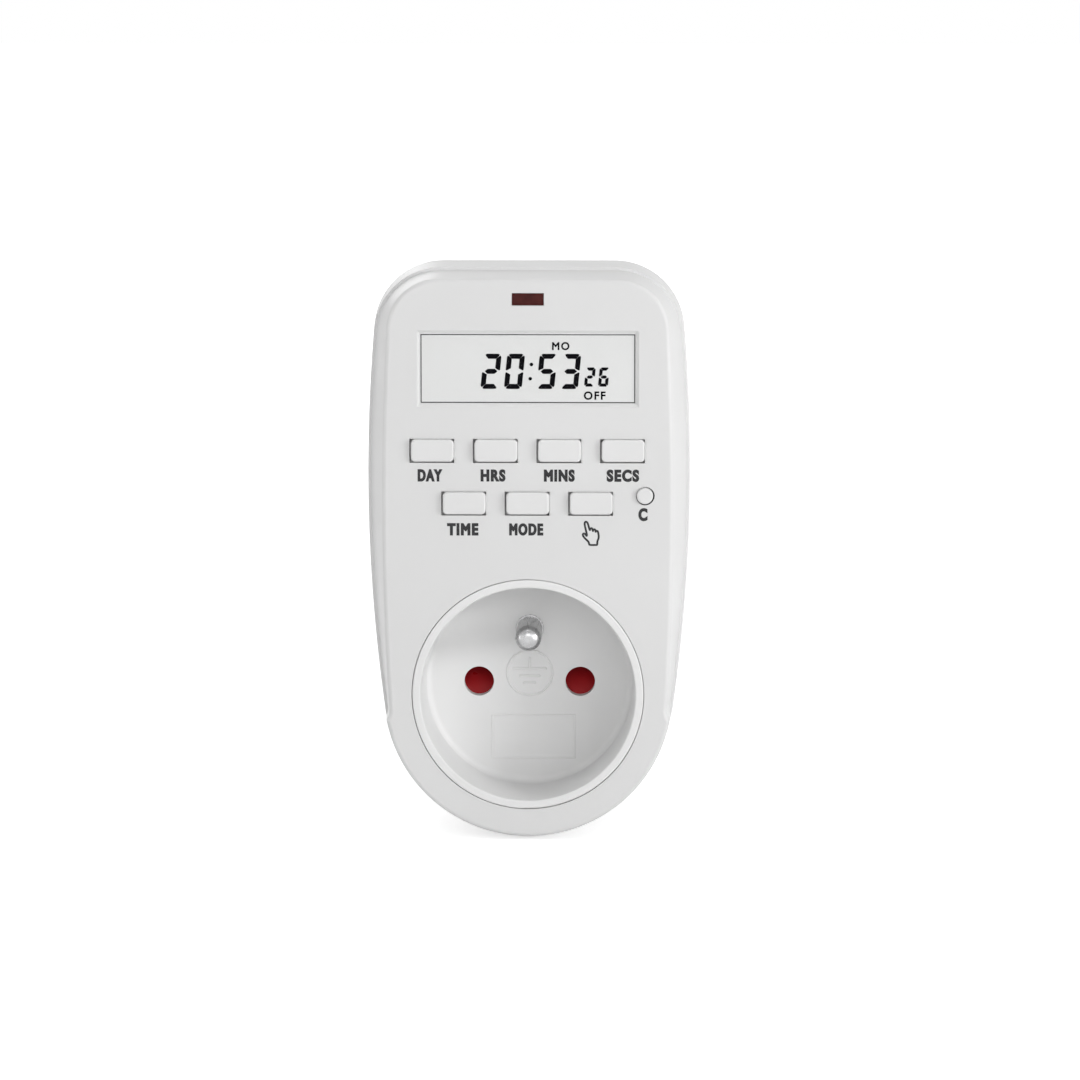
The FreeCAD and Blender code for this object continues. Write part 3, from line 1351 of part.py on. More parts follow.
def key(node, x, z):
    """A rectangular cap with soft edges, the flange that keeps it in, and a stem that presses its switch."""
    body = doc.addObject("PartDesign::Body", node)
    cap = rectangle(body, node + "_cap_outline", behind(FLANGE_FRONT), x, z, "key_width", "key_height")
    pad(body, node + "_cap", cap, f"({FLANGE_FRONT}) + key_proud")
    front = value(behind("-key_proud"))

    def corner(edge):
        box = edge.BoundBox
        return box.YMax - box.YMin > value("key_proud")

    soften(body, node + "_corners", "key_corner", corner)
    soften(body, node + "_edge", "key_edge", lambda edge: lies_at(edge, front))
    flange = rectangle(body, node + "_flange_outline", behind(FLANGE_FRONT), x, z,
                       "key_width + 2 * key_flange", "key_height + 2 * key_flange")
    pad(body, node + "_flange", flange, "key_flange_thickness", backwards=True)
    stem = circles(body, node + "_stem_outline", behind(f"{FLANGE_FRONT} + key_flange_thickness"), [(x, z)],
                   "key_stem_radius")
    pad(body, node + "_stem", stem, "key_stem_length", backwards=True)
    return finish(node, body)


def reset_key():
    """The small round cap, pressed with a pen."""
    body = turned("reset_key", [
        ("0", behind("-reset_proud")), ("reset_radius", behind("-reset_proud")),
        ("reset_radius", behind(FLANGE_FRONT)), ("reset_radius + reset_flange", behind(FLANGE_FRONT)),
        ("reset_radius + reset_flange", behind(f"{FLANGE_FRONT} + key_flange_thickness")),
        ("reset_plunger_radius", behind(f"{FLANGE_FRONT} + key_flange_thickness")),
        ("reset_plunger_radius", behind("stem_end")), ("0", behind("stem_end")),
    ], x="reset_x", z="reset_height")
    soften(body, "reset_edge", "key_edge", lambda edge: lies_at(edge, value(behind("-reset_proud"))))
    return finish("reset_key", body)


def switch_body(name, x, z, size, plunger):
    """A tactile switch's case on the control board, with the well its plunger works in."""
    top = "board_depth - switch_height"
    case = block(name + "_case", centred(x, size), (behind(top), behind("board_depth")), centred(z, size))
    well = rod(name + "_well", f"{plunger} + plunger_clearance",
               (behind(f"{top} - cut_past"),
                behind(f"{top} + plunger_in + key_travel + plunger_floor_gap")), x, z)
    return cut(name, case, well)


def plunger(node, x, z, radius):
    rod(node, radius, (behind("stem_end"), behind("board_depth - switch_height + plunger_in")), x, z)
    return finish(node, doc.getObject(node))


for node, (key_x, key_z) in KEYS.items():
    key(node, key_x, key_z)
    plunger(node.replace("key", "switch_plunger"), key_x, key_z, "plunger_radius")
reset_key()
plunger("reset_switch_plunger", "reset_x", "reset_height", "reset_plunger_radius")
switches = [switch_body(node.replace("key", "switch_body"), x, z, "switch_size", "plunger_radius")
            for node, (x, z) in KEYS.items()]
switches.append(switch_body("reset_switch_body", "reset_x", "reset_height", "reset_switch_size",
                            "reset_plunger_radius"))
finish("key_switches", group("key_switches", *switches))


# Boards and what stands on them

def control_board():
    depth = (behind("board_depth"), behind("board_depth + board_thickness"))
    main = block("control_board_main", ("-board_half_width", "board_half_width"), depth,
                 ("board_bottom", "board_top"))
    tongue = block("control_board_tongue", ("-board_tongue_half_width", "board_tongue_half_width"), depth,
                   ("board_top - board_tongue_root", "board_tongue_top"))
    holes = [rod(f"control_hole_{i}", BOARD_HOLE,
                 (behind("board_depth - cut_past"), behind("board_depth + board_thickness + cut_past")), x, z)
             for i, (x, z) in enumerate(BOARD_SCREWS)]
    return finish("control_board", cut("control_board", fuse("control_board_blank", main, tongue), *holes))


def power_board():
    depth = (behind("power_depth"), behind("power_depth + board_thickness"))
    main = block("power_board_main", ("-power_half_width", "power_half_width"), depth,
                 ("power_bottom", "power_top"))
    through = (behind("power_depth - cut_past"), behind("power_depth + board_thickness + cut_past"))
    holes = [rod(f"power_hole_{i}", BOARD_HOLE, through, x, z)
             for i, (x, z) in enumerate(POWER_SCREWS)]
    pin_x = "contact_spacing / 2"

    def strip_slot(name, x, width, top):
        return block(name, centred(x, f"{width} + 2 * part_clearance"), through,
                     (f"{top} - strip - part_clearance", f"{top} + part_clearance"))

    holes.append(strip_slot("outlet_slot", pin_x, "outlet_bar_width", "outlet_foot_height"))
    holes += [strip_slot(f"inlet_slot_{side + 1}", f"{side} * {pin_x}", "bar_width", "inlet_foot_height")
              for side in (-1, 1)]
    return finish("power_board", cut("power_board", main, *holes))


control_board()
power_board()

POWER_FRONT = behind("power_depth")


def soft_block(node, x, z, width, height, depth):
    """A box-shaped component on the power board with rounded edges towards the front."""
    front = f"{POWER_FRONT} - ({depth})"
    base = block(node + "_case", centred(x, width), (front, POWER_FRONT), centred(z, height))
    return finish(node, rounded(node, base, "moulded_round", lambda edge: lies_at(edge, value(front))))


def can(name, x, z, radius, depth):
    """A round component on the power board, its axis towards the front."""
    front = f"{POWER_FRONT} - ({depth})"
    base = rod(name + "_can", radius, (front, POWER_FRONT), x, z)
    return rounded(name, base, "can_round", lambda edge: lies_at(edge, value(front)))


def elbow(name, x, y, z, side):
    """A quarter bend of wire from the X direction to the Y direction, on the given side."""
    bend = doc.addObject("Part::Torus", name)
    bend.Angle3 = 90
    bind(bend, Radius1="lead_bend", Radius2="lead_radius")
    return place(bend, x, y, z, FreeCAD.Rotation(FreeCAD.Vector(0, 0, 1), -90 if side > 0 else 180))


def lying_part(name, x, z, radius, length):
    """A small round component lying along X, with a wire at each end bent down to the board."""
    axis_y = f"{POWER_FRONT} - part_stand_off - ({radius})"
    reach = f"({length}) / 2 + lead_reach"
    solids = [rod_along_x(name + "_barrel", radius, centred(x, length), axis_y, z),
              rod_along_x(name + "_wire", "lead_radius", centred(x, f"2 * ({reach})"), axis_y, z)]
    for side, label in ((-1, "left"), (1, "right")):
        end = f"{x} + {side} * ({reach})"
        solids.append(elbow(f"{name}_{label}_bend", end, f"{axis_y} + lead_bend", z, side))
        solids.append(rod(f"{name}_{label}_leg", "lead_radius", (f"{axis_y} + lead_bend", POWER_FRONT),
                          f"{end} + {side} * lead_bend", z))
    return fuse(name, *solids)


soft_block("relay", "relay_x", "relay_middle", "relay_width", "relay_height", "relay_depth")
soft_block("film_capacitor", "film_x", "film_middle", "film_width", "film_height", "film_depth")
finish("backup_cell", can("backup_cell", "cell_x", "cell_middle", "cell_radius", "cell_depth"))
finish("smoothing_capacitors", group("smoothing_capacitors", *[
    can(f"smoothing_capacitor_{i}", f"smoothing_x + {i} * smoothing_pitch", "smoothing_middle",
        "smoothing_radius", "smoothing_depth") for i in range(2)]))
finish("surge_arrester", fuse(
    "surge_arrester",
    rod_along_x("surge_disc", "surge_radius", centred("surge_x", "surge_thickness"),
                f"{POWER_FRONT} - part_stand_off - surge_radius", "surge_middle"),
    rod("surge_leg", "lead_radius", (f"{POWER_FRONT} - part_stand_off - surge_leg", POWER_FRONT),
        "surge_x", "surge_middle")))
finish("rectifier_diodes", group("rectifier_diodes", *[
    lying_part(f"rectifier_diode_{i}", f"({i} - 1.5) * diode_pitch", "diode_middle", "diode_radius",
               "diode_length") for i in range(4)]))
finish("bleed_resistor", lying_part("bleed_resistor", "resistor_x", "resistor_middle", "resistor_radius",
                                    "resistor_length"))

CONTROL_BACK = behind("board_depth + board_thickness")


def controller_chip():
    """The dome of resin over the controller, on the back of the control board."""
    top = f"{CONTROL_BACK} + chip_height"
    disc = rod("chip_disc", "chip_radius", (CONTROL_BACK, top), "0", "chip_middle")
    dome = rounded("controller_chip", disc, "chip_dome", lambda edge: lies_at(edge, value(top)))
    return finish("controller_chip", dome)


controller_chip()
finish("timing_crystal", rod_along_x("timing_crystal", "crystal_radius",
                                     centred("crystal_x", "crystal_length"),
                                     f"{CONTROL_BACK} + crystal_radius", "chip_middle"))


def ribbon_cable():
    """Flat cable of round wires side by side, bent in an S from the control board to the power board."""
    start, end = value(CONTROL_BACK), value(POWER_FRONT)
    high, low = value("ribbon_control_height"), value("ribbon_power_height")
    bend, wire = value("ribbon_bend"), value("ribbon_wire_radius")
    drop = high - low
    turn = math.acos(1 - drop / (2 * bend))
    run = 2 * bend * math.sin(turn)
    lead_in = (end - start - run) / 2
    first = FreeCAD.Vector(0, start + lead_in, high)
    second = FreeCAD.Vector(0, start + lead_in + run, low)
    knee = (first + second) * 0.5
    half = turn / 2
    upper = FreeCAD.Vector(0, first.y + bend * math.sin(half), high - bend * (1 - math.cos(half)))
    lower = FreeCAD.Vector(0, second.y - bend * math.sin(half), low + bend * (1 - math.cos(half)))
    path = Part.Wire([
        Part.makeLine(FreeCAD.Vector(0, start, high), first),
        Part.Arc(first, upper, knee).toShape(),
        Part.Arc(knee, lower, second).toShape(),
        Part.makeLine(second, FreeCAD.Vector(0, end, low)),
    ])
    count = int(round(value("ribbon_wires")))
    wires = []
    for i in range(count):
        shift = value("ribbon_x") + (i - (count - 1) / 2) * value("ribbon_wire_pitch")
        section = Part.Wire([Part.makeCircle(wire, FreeCAD.Vector(0, start, high), FreeCAD.Vector(0, 1, 0))])
        tube = path.makePipeShell([section], True, False)
        tube.translate(FreeCAD.Vector(shift, 0, 0))
        wires.append(tube)
    cable = doc.addObject("Part::Feature", "ribbon_cable")
    cable.Shape = wires[0].multiFuse(wires[1:]).removeSplitter()
    return finish("ribbon_cable", cable)


ribbon_cable()


# Checks and export

doc.recompute()
for thing in doc.Objects:
    if {"Invalid", "Error"} & set(thing.State):
        raise RuntimeError(f"{thing.Name} failed: {thing.State}")
os.makedirs("parts", exist_ok=True)
for node, thing in pieces.items():
    shape = thing.Shape
    if shape.isNull() or not shape.isValid() or not shape.Solids:
        raise RuntimeError(f"{node} has no valid solid")
    shape.exportStep(os.path.join("parts", node + ".step"))
print(f"{len(pieces)} sub-parts written")
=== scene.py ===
# Looks of a plug-in digital timer switch, built round its packed construction.
# Everything is in metres, in the construction's frame: +X to the reader's right, +Z up, front facing -Y.

import math

import bmesh
import bpy
from mathutils import Matrix, Vector


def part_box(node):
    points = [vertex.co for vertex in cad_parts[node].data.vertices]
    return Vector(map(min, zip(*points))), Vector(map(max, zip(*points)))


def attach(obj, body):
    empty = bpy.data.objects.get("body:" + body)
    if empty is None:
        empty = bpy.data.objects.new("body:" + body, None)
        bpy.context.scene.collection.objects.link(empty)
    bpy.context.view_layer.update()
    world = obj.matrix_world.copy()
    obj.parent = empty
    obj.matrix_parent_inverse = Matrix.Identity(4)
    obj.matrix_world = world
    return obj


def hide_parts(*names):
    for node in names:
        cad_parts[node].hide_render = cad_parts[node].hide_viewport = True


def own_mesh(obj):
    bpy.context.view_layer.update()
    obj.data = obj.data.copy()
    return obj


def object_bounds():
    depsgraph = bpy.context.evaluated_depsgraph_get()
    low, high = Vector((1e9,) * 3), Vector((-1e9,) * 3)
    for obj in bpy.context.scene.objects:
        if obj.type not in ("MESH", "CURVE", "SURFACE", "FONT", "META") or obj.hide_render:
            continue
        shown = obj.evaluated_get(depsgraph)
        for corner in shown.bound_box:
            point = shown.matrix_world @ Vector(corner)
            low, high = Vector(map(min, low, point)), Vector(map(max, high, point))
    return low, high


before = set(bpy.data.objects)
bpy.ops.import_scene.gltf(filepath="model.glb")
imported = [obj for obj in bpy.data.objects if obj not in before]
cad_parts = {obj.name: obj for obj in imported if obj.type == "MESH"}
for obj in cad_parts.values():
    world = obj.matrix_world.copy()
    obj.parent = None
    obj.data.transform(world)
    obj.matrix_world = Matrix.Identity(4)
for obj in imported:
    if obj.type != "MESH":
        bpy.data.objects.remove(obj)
cad_low, cad_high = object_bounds()

MM = 0.001
FACING_FRONT = (math.radians(90), 0, 0)

# Places read from the construction, and sizes taken over from it
FACE_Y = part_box("front_cover")[0].y
PANE_LOW, PANE_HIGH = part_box("display_window")
PANE_MIDDLE = (PANE_LOW + PANE_HIGH) / 2
PANE_SIZE = (39.45 * MM, 12.7 * MM)
WELL_DEPTH = 16 * MM
WELL_FLOOR_Y = FACE_Y + WELL_DEPTH
BODY_DEPTH = 39 * MM
BACK_Y = FACE_Y + BODY_DEPTH
BACK_RECESS_DEPTH = 0.4 * MM
BACK_RECESS_Z = 46 * MM
BACK_RECESS_SIZE = (32 * MM, 24 * MM)

# Printing on the face: each legend's words, place across and up, and width
INK_THICKNESS = 0.03 * MM
INK_SUNK = 0.01 * MM
INK_FRONT_Y = FACE_Y + INK_SUNK - INK_THICKNESS
LEGEND_HEIGHT = 2.3 * MM
LEGEND_BOLD = 0.075 * MM
LETTER_SPACING = 1.22
UPPER_LEGENDS_Z = 40.8 * MM
LOWER_LEGENDS_Z = 30.8 * MM
LEGENDS = {
    "week_key_legend": ("DAY", -18.0 * MM, UPPER_LEGENDS_Z, 4.6 * MM),
    "hour_key_legend": ("HRS", -6.4 * MM, UPPER_LEGENDS_Z, 4.6 * MM),
    "minute_key_legend": ("MINS", 5.8 * MM, UPPER_LEGENDS_Z, 5.7 * MM),
    "second_key_legend": ("SECS", 17.5 * MM, UPPER_LEGENDS_Z, 6.0 * MM),
    "clock_key_legend": ("TIME", -12.0 * MM, LOWER_LEGENDS_Z, 5.8 * MM),
    "program_key_legend": ("MODE", -0.3 * MM, LOWER_LEGENDS_Z, 6.3 * MM),
}
RESET_LEGEND_MIDDLE = (21.2 * MM, 33.6 * MM)
RESET_LEGEND_SIZE = (1.7 * MM, 2.45 * MM)

# Pictogram of a hand under the manual key: its line and the points of its outline in millimetres
HAND_MIDDLE = (11.6 * MM, 30.1 * MM)
HAND_SIZE = (3.3 * MM, 4.7 * MM)
HAND_LINE = 0.2
HAND_OUTLINE = (
    (-0.72, -0.35), (-1.02, 1.0), (-1.25, 2.05), (-0.98, 2.45), (-0.6, 2.2), (-0.3, 1.0),
    (-0.12, 0.55), (-0.1, 0.95), (0.22, 1.1), (0.4, 0.8), (0.42, 0.35), (0.5, 0.75), (0.82, 0.85),
    (0.95, 0.55), (0.97, 0.2), (1.05, 0.5), (1.35, 0.5), (1.5, 0.1), (1.62, -0.9), (1.3, -1.6),
    (1.3, -2.3), (1.2, -2.4), (-0.2, -2.4), (-0.3, -2.25), (-0.4, -1.7), (-1.2, -1.0),
    (-1.6, -0.35), (-1.45, 0.0), (-1.1, -0.1), (-0.8, -0.6),
)

# Keys, and the lips in the gaps round them
KEY_CAP = (7.9 * MM, 4.1 * MM)
KEY_GAP = 0.3 * MM
UPPER_KEYS_Z = 45.45 * MM
LOWER_KEYS_Z = 35.7 * MM
KEY_PLACES = (
    (-17.55 * MM, UPPER_KEYS_Z), (-5.85 * MM, UPPER_KEYS_Z), (5.85 * MM, UPPER_KEYS_Z),
    (17.55 * MM, UPPER_KEYS_Z), (-11.7 * MM, LOWER_KEYS_Z), (0, LOWER_KEYS_Z), (11.7 * MM, LOWER_KEYS_Z),
)
LIP_DROP = 0.05 * MM
LIP_FRONT_Y = FACE_Y + LIP_DROP
LIP_CLEAR = 0.04 * MM
LIP_SUNK = 0.05 * MM
LIP_DEPTH = 0.5 * MM
LIP_ROUND = 0.03 * MM

# Reset key, with the lip that hangs over its upper left, and behind that lip a black ring of painted shade
# that darkens the key's gap
RESET_MIDDLE = (21.55 * MM, 37.1 * MM)
RESET_RADIUS = 1.5 * MM
RESET_RING_RADIUS = RESET_RADIUS + KEY_GAP + LIP_SUNK
RESET_LIP_RADIUS = RESET_RADIUS + 0.2 * MM
RESET_LIP_SHIFT = 0.1 * MM
RESET_LIP_DEPTH = 0.1 * MM
RESET_SHADE_RING_RADIUS = RESET_RADIUS + 0.03 * MM
RESET_RING_SIDES = 64

# Lip round the pane, film behind its front, and the dark line of painted shade round the film, standing for
# the shadow in the gap round the pane
WINDOW_LIP_CLEAR = 0.01 * MM
WINDOW_LIP_WIDTH = 0.2 * MM
WINDOW_LIP_DEPTH = 0.5 * MM
FILM_DROP = 0.15 * MM
FILM_Y = PANE_LOW.y + FILM_DROP
FILM_THICKNESS = 0.1 * MM
FILM_CLEAR = 0.05 * MM
BORDER_LINE = 0.17 * MM
BORDER_CLEAR = 0.02 * MM

# Digits: height, width and bar width of the two sizes, and their slant
LARGE_DIGIT = (6.48 * MM, 3.28 * MM, 0.92 * MM)
SMALL_DIGIT = (3.54 * MM, 1.82 * MM, 0.58 * MM)
LARGE_BASE_Z = 56.75 * MM
SMALL_BASE_Z = 57.2 * MM
SEGMENT_THICKNESS = 0.03 * MM
SEGMENT_FRONT_Y = FILM_Y - SEGMENT_THICKNESS
SLANT = 0.1
DIGITS = (
    ("2", -8.73 * MM, LARGE_BASE_Z, LARGE_DIGIT),
    ("0", -4.42 * MM, LARGE_BASE_Z, LARGE_DIGIT),
    ("5", 1.55 * MM, LARGE_BASE_Z, LARGE_DIGIT),
    ("3", 5.9 * MM, LARGE_BASE_Z, LARGE_DIGIT),
    ("2", 10.31 * MM, SMALL_BASE_Z, SMALL_DIGIT),
    ("6", 12.87 * MM, SMALL_BASE_Z, SMALL_DIGIT),
)

# Bars of a digit: gap, mitres, shift and clipped corners as shares of a bar's width
BAR_GAP = 0.07
BAR_MITRE = 1.85
UPRIGHT_MITRE = 1.5
UPRIGHT_SHIFT = 0.2
OUTER_CLIP = 0.62
MIDDLE_CLIP = 0.3
MIDDLE_BAR_POINT = 0.12

# An edge is a bar's outer corner if it is this near z = 0 and this far along, as a share of the length
ON_OUTER_EDGE = 1e-7
AT_BAR_END = 0.45

# Each bar's kind, its place across and up as shares of the digit, and its turn in degrees
BAR_PLACES = {
    "a": ("level", 0.5, 1, 0),
    "b": ("rising", 1, 0.75, 90),
    "c": ("falling", 1, 0.25, 90),
    "d": ("level", 0.5, 0, 180),
    "e": ("rising", 0, 0.25, -90),
    "f": ("falling", 0, 0.75, -90),
    "g": ("middle", 0.5, 0.5, 0),
}
BARS_LIT = {
    "0": "abcdef",
    "2": "abdeg",
    "3": "abcdg",
    "5": "acdfg",
    "6": "acdefg",
}

# Colon and words of the display
COLON_DOTS = ((0.65 * MM, 61.26 * MM), (0.43 * MM, 58.65 * MM))
COLON_DOT_RADIUS = 0.33 * MM
COLON_DOT_SIDES = 32
WEEKDAY_MIDDLE = (6.04 * MM, 64.66 * MM)
WEEKDAY_SIZE = (3.2 * MM, 1.5 * MM)
STATE_MIDDLE = (12.28 * MM, 55.54 * MM)
STATE_SIZE = (4.0 * MM, 1.56 * MM)
DISPLAY_BOLD = 0.035 * MM

# Raised marks on the floor of the socket: the earth sign's strokes as height in the sign and length
EARTH_MARK_Z = 1.6 * MM
EARTH_RING_RADIUS = 4.25 * MM
EARTH_RING_STEPS = 96
EARTH_RING_SIDES = 16
EARTH_STEM = (1.9 * MM, 2.2 * MM)
EARTH_BARS = ((0.8 * MM, 6.4 * MM), (-0.55 * MM, 4.0 * MM), (-1.9 * MM, 2.4 * MM))
MARK_LINE = 0.42 * MM
MARK_HEIGHT = 0.24 * MM
MARK_SUNK = 0.12 * MM
MARK_ROUND = 0.144 * MM
BARE_PLATE_MIDDLE = (0.7 * MM, -10.5 * MM)
BARE_PLATE_SIZE = (15.1 * MM, 7.8 * MM)
BARE_PLATE_LINE = 0.34 * MM
BARE_PLATE_HEIGHT = 0.13 * MM
BARE_PLATE_ROUND = 0.119 * MM

# Coil of the shutter's spring
SPRING_WIRE = 0.4 * MM
SPRING_SIDES = 14
SPRING_STEPS = 32
SPRING_TURNS = 7

# Bare plate in the recess of the back, with a groove near its edge
BACK_PLATE_CLEAR = 0.4 * MM
BACK_PLATE_THICKNESS = 0.24 * MM
BACK_PLATE_CORNER = 1.2 * MM
BACK_PLATE_MARGIN = 0.9 * MM
BACK_GROOVE_WIDTH = 0.12 * MM
BACK_GROOVE_DEPTH = 0.06 * MM

# Camera: where it looks, from how far and at what angle
AIM = Vector((0, -0.041, 0))
CAMERA_DISTANCE = 1.0
CAMERA_TURN = math.radians(1.1)
CAMERA_RISE = math.radians(7.4)
CAMERA_SHIFT_RIGHT = 0.001936
CAMERA_SHIFT_UP = 0.02654
LENS = 177.3
SENSOR_WIDTH = 36
NEAREST_SEEN = 0.05
FARTHEST_SEEN = 20

# Floor: its size, its glow close to the object and far from it, and where the one turns into the other
FLOOR_SIZE = 8
FLOOR_DROP = 0.05 * MM
FLOOR_GREY = 0.8
GLOW_CLOSE = 0.6
GLOW_FAR = 1.0
GLOW_RISES = (0.1, 0.8)

# Light: each lamp's place, size and power, and the surround's strength towards the front and the back
LAMP_AIM = Vector((0, -0.05, 0.02))
LAMPS = (
    ("key_light", (0.672, -0.470, 0.131), 0.2, 2.35),
    ("soft_key_light", (0.454, -0.699, 0.131), 0.4, 1.1),
    ("left_fill", (-0.509, -0.657, 0.131), 0.4, 0.25),
    ("left_edge_light", (-0.780, -0.216, 0.090), 0.35, 1.0),
    ("front_fill", (0, -1.161, 0.318), 0.5, 1.65),
    ("top_light", (0, -0.161, 0.812), 0.4, 1.3),
    ("back_fill", (-0.4, 0.9, 0.6), 0.6, 1.9),
)
SURROUND_FRONT = 0.3
SURROUND_BACK = 0.6
SURROUND_TURNS = 0.15

# A face whose normal reaches this far along an axis faces that way
FACING = 0.5

# Sockets of the mix node that hold its two colours and their blend
MIX_FIRST = 6
MIX_SECOND = 7
MIX_RESULT = 2


# Modelling helpers

def deselect():
    """Leaves nothing selected, so that an operator acts on the new piece alone."""
    bpy.ops.object.select_all(action="DESELECT")


def new_piece():
    """The object that the last operator added."""
    return bpy.context.object


def select(piece):
    """Leaves this piece alone selected and active."""
    deselect()
    piece.select_set(True)
    bpy.context.view_layer.objects.active = piece


def apply_place():
    """Puts the selected piece's place, turn and scale into its mesh."""
    bpy.ops.object.transform_apply(location=True, rotation=True, scale=True)


def edit(piece):
    """Opens the piece in edit mode with all of it selected."""
    select(piece)
    bpy.ops.object.mode_set(mode="EDIT")
    bpy.ops.mesh.select_all(action="SELECT")


def close_edit():
    """Goes back from edit mode to the whole piece."""
    bpy.ops.object.mode_set(mode="OBJECT")


def pick_faces(piece, wanted):
    """In edit mode, selects the faces whose normal passes the test."""
    bpy.ops.mesh.select_mode(type="FACE")
    bpy.ops.mesh.select_all(action="DESELECT")
    mesh = bmesh.from_edit_mesh(piece.data)
    for face in mesh.faces:
        face.select_set(wanted(face.normal))
    bmesh.update_edit_mesh(piece.data)


def pick_edges(piece, wanted):
    """In edit mode, selects the edges whose two ends pass the test."""
    bpy.ops.mesh.select_mode(type="EDGE")
    bpy.ops.mesh.select_all(action="DESELECT")
    mesh = bmesh.from_edit_mesh(piece.data)
    for line in mesh.edges:
        line.select_set(wanted(line.verts[0].co, line.verts[1].co))
    bmesh.update_edit_mesh(piece.data)


def bevel(width, segments):
    """In edit mode, rounds the selected edges."""
    bpy.ops.mesh.bevel(offset=width, segments=segments, affect="EDGES")


def face_outwards():
    """In edit mode, turns every face outwards."""
    bpy.ops.mesh.select_all(action="SELECT")
    bpy.ops.mesh.normals_make_consistent(inside=False)


def add_block(middle, size):
    """A box of that size about that middle."""
    deselect()
    bpy.ops.mesh.primitive_cube_add(size=1, location=middle)
    piece = new_piece()
    piece.scale = size
    apply_place()
    return piece


def thicken(piece, depth):
    """In edit mode, gives a flat shape that faces the front its depth, and closes edit mode."""
    bpy.ops.mesh.select_all(action="SELECT")
    bpy.ops.mesh.extrude_region_move(TRANSFORM_OT_translate={"value": (0, depth, 0)})
    face_outwards()
    close_edit()
    return piece


def frame_round(middle, size, width, front, depth):
    """A mitred frame just outside a rectangle, made from a plane by inset."""
    deselect()
    bpy.ops.mesh.primitive_plane_add(size=1, location=(middle[0], front, middle[1]), rotation=FACING_FRONT)
    piece = new_piece()
    piece.scale = (size[0] + 2 * width, size[1] + 2 * width, 1)
    apply_place()
    edit(piece)
    bpy.ops.mesh.inset(thickness=width, depth=0)
    bpy.ops.mesh.delete(type="FACE")
    return thicken(piece, depth)


def ring_round(middle, outer, inner, shift, front, depth):
    """A flat ring, its hole shifted so far to the right and down, bridged between two circles."""
    circles = []
    for radius, aside in ((outer, 0), (inner, shift)):
        deselect()
        bpy.ops.mesh.primitive_circle_add(
            vertices=RESET_RING_SIDES, radius=radius,
            location=(middle[0] + aside, front, middle[1] - aside), rotation=FACING_FRONT)
        apply_place()
        circles.append(new_piece())
    piece = join(circles)
    edit(piece)
    bpy.ops.mesh.bridge_edge_loops()
    return thicken(piece, depth)


def round_edges(piece, radius):
    """Rounds every edge of the piece."""
    edit(piece)
    bevel(radius, segments=2)
    close_edit()


def round_front_edges(piece, limit, radius):
    """Rounds the edges that lie in front of a depth, and shades the piece smooth."""
    edit(piece)
    pick_edges(piece, lambda a, b: max(a.y, b.y) < limit)
    bevel(radius, segments=3)
    close_edit()
    smooth(piece)


def smooth(piece, degrees=40):
    """Shades the piece smooth over every edge flatter than the angle."""
    select(piece)
    bpy.ops.object.shade_smooth_by_angle(angle=math.radians(degrees))


def copy_of(piece, place):
    """A second piece with a mesh of its own, moved by the matrix."""
    twin = piece.copy()
    twin.data = piece.data.copy()
    bpy.context.collection.objects.link(twin)
    twin.data.transform(place)
    return twin


def join(pieces):
    """Makes one piece of several."""
    deselect()
    for piece in pieces:
        piece.select_set(True)
    bpy.context.view_layer.objects.active = pieces[0]
    bpy.ops.object.join()
    return pieces[0]


def repeat(piece, places):
    """One piece made of a copy of this one at each place across and up."""
    copies = [copy_of(piece, Matrix.Translation((x, 0, z))) for x, z in places]
    bpy.data.objects.remove(piece)
    return join(copies)


def limits(points):
    """The low and the high corner of the box round the points."""
    low = Vector([min(point[axis] for point in points) for axis in range(3)])
    high = Vector([max(point[axis] for point in points) for axis in range(3)])
    return low, high


def fit(piece, low, high):
    """Scales and moves the piece's mesh so that its box runs from low to high."""
    start, end = limits([vertex.co for vertex in piece.data.vertices])
    scale = [(high[axis] - low[axis]) / (end[axis] - start[axis]) for axis in range(3)]
    resize = Matrix.Diagonal((*scale, 1))
    piece.data.transform(Matrix.Translation(low) @ resize @ Matrix.Translation(-start))


def complete(piece, name, material, body="housing"):
    """Names a piece, gives it its finish and lets it ride on its body."""
    piece.name = name
    piece.data.name = name
    piece.data.materials.clear()
    piece.data.materials.append(material)
    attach(piece, body)


# Material helpers

def principled(name, colour, roughness, **sockets):
    """A new material with its constant values set on the shader's own sockets."""
    material = bpy.data.materials.new(name)
    material.use_nodes = True
    shader = material.node_tree.nodes["Principled BSDF"]
    shader.inputs["Base Color"].default_value = (*colour, 1)
    shader.inputs["Roughness"].default_value = roughness
    for socket, value in sockets.items():
        shader.inputs[socket.replace("_", " ")].default_value = value
    return material, material.node_tree, shader


def add_node(tree, kind, inputs=None, **settings):
    """Adds a node, with its settings and with values or links on its inputs."""
    made = tree.nodes.new(kind)
    for setting, value in settings.items():
        setattr(made, setting, value)
    for socket, value in (inputs or {}).items():
        if isinstance(value, bpy.types.NodeSocket):
            tree.links.new(value, made.inputs[socket])
        else:
            made.inputs[socket].default_value = value
    return made


def object_place(tree):
    """The piece's own coordinates."""
    return add_node(tree, "ShaderNodeTexCoord").outputs["Object"]


def calculate(tree, operation, first, second=0.0):
    """The result of a sum on one or two values."""
    return add_node(tree, "ShaderNodeMath", {0: first, 1: second}, operation=operation).outputs[0]


def noise(tree, scale, detail, roughness=0.5, vector=None):
    """Noise of so many cells to the metre, on the piece's own coordinates unless others are given."""
    made = add_node(tree, "ShaderNodeTexNoise",
                    {"Vector": vector or object_place(tree), "Scale": scale,
                     "Detail": detail, "Roughness": roughness})
    return made.outputs["Fac"]


def ramp(tree, value, low, high, low_out, high_out):
    """Maps a value from one range onto another."""
    made = add_node(tree, "ShaderNodeMapRange",
                    {"Value": value, "From Min": low, "From Max": high,
                     "To Min": low_out, "To Max": high_out})
    return made.outputs["Result"]


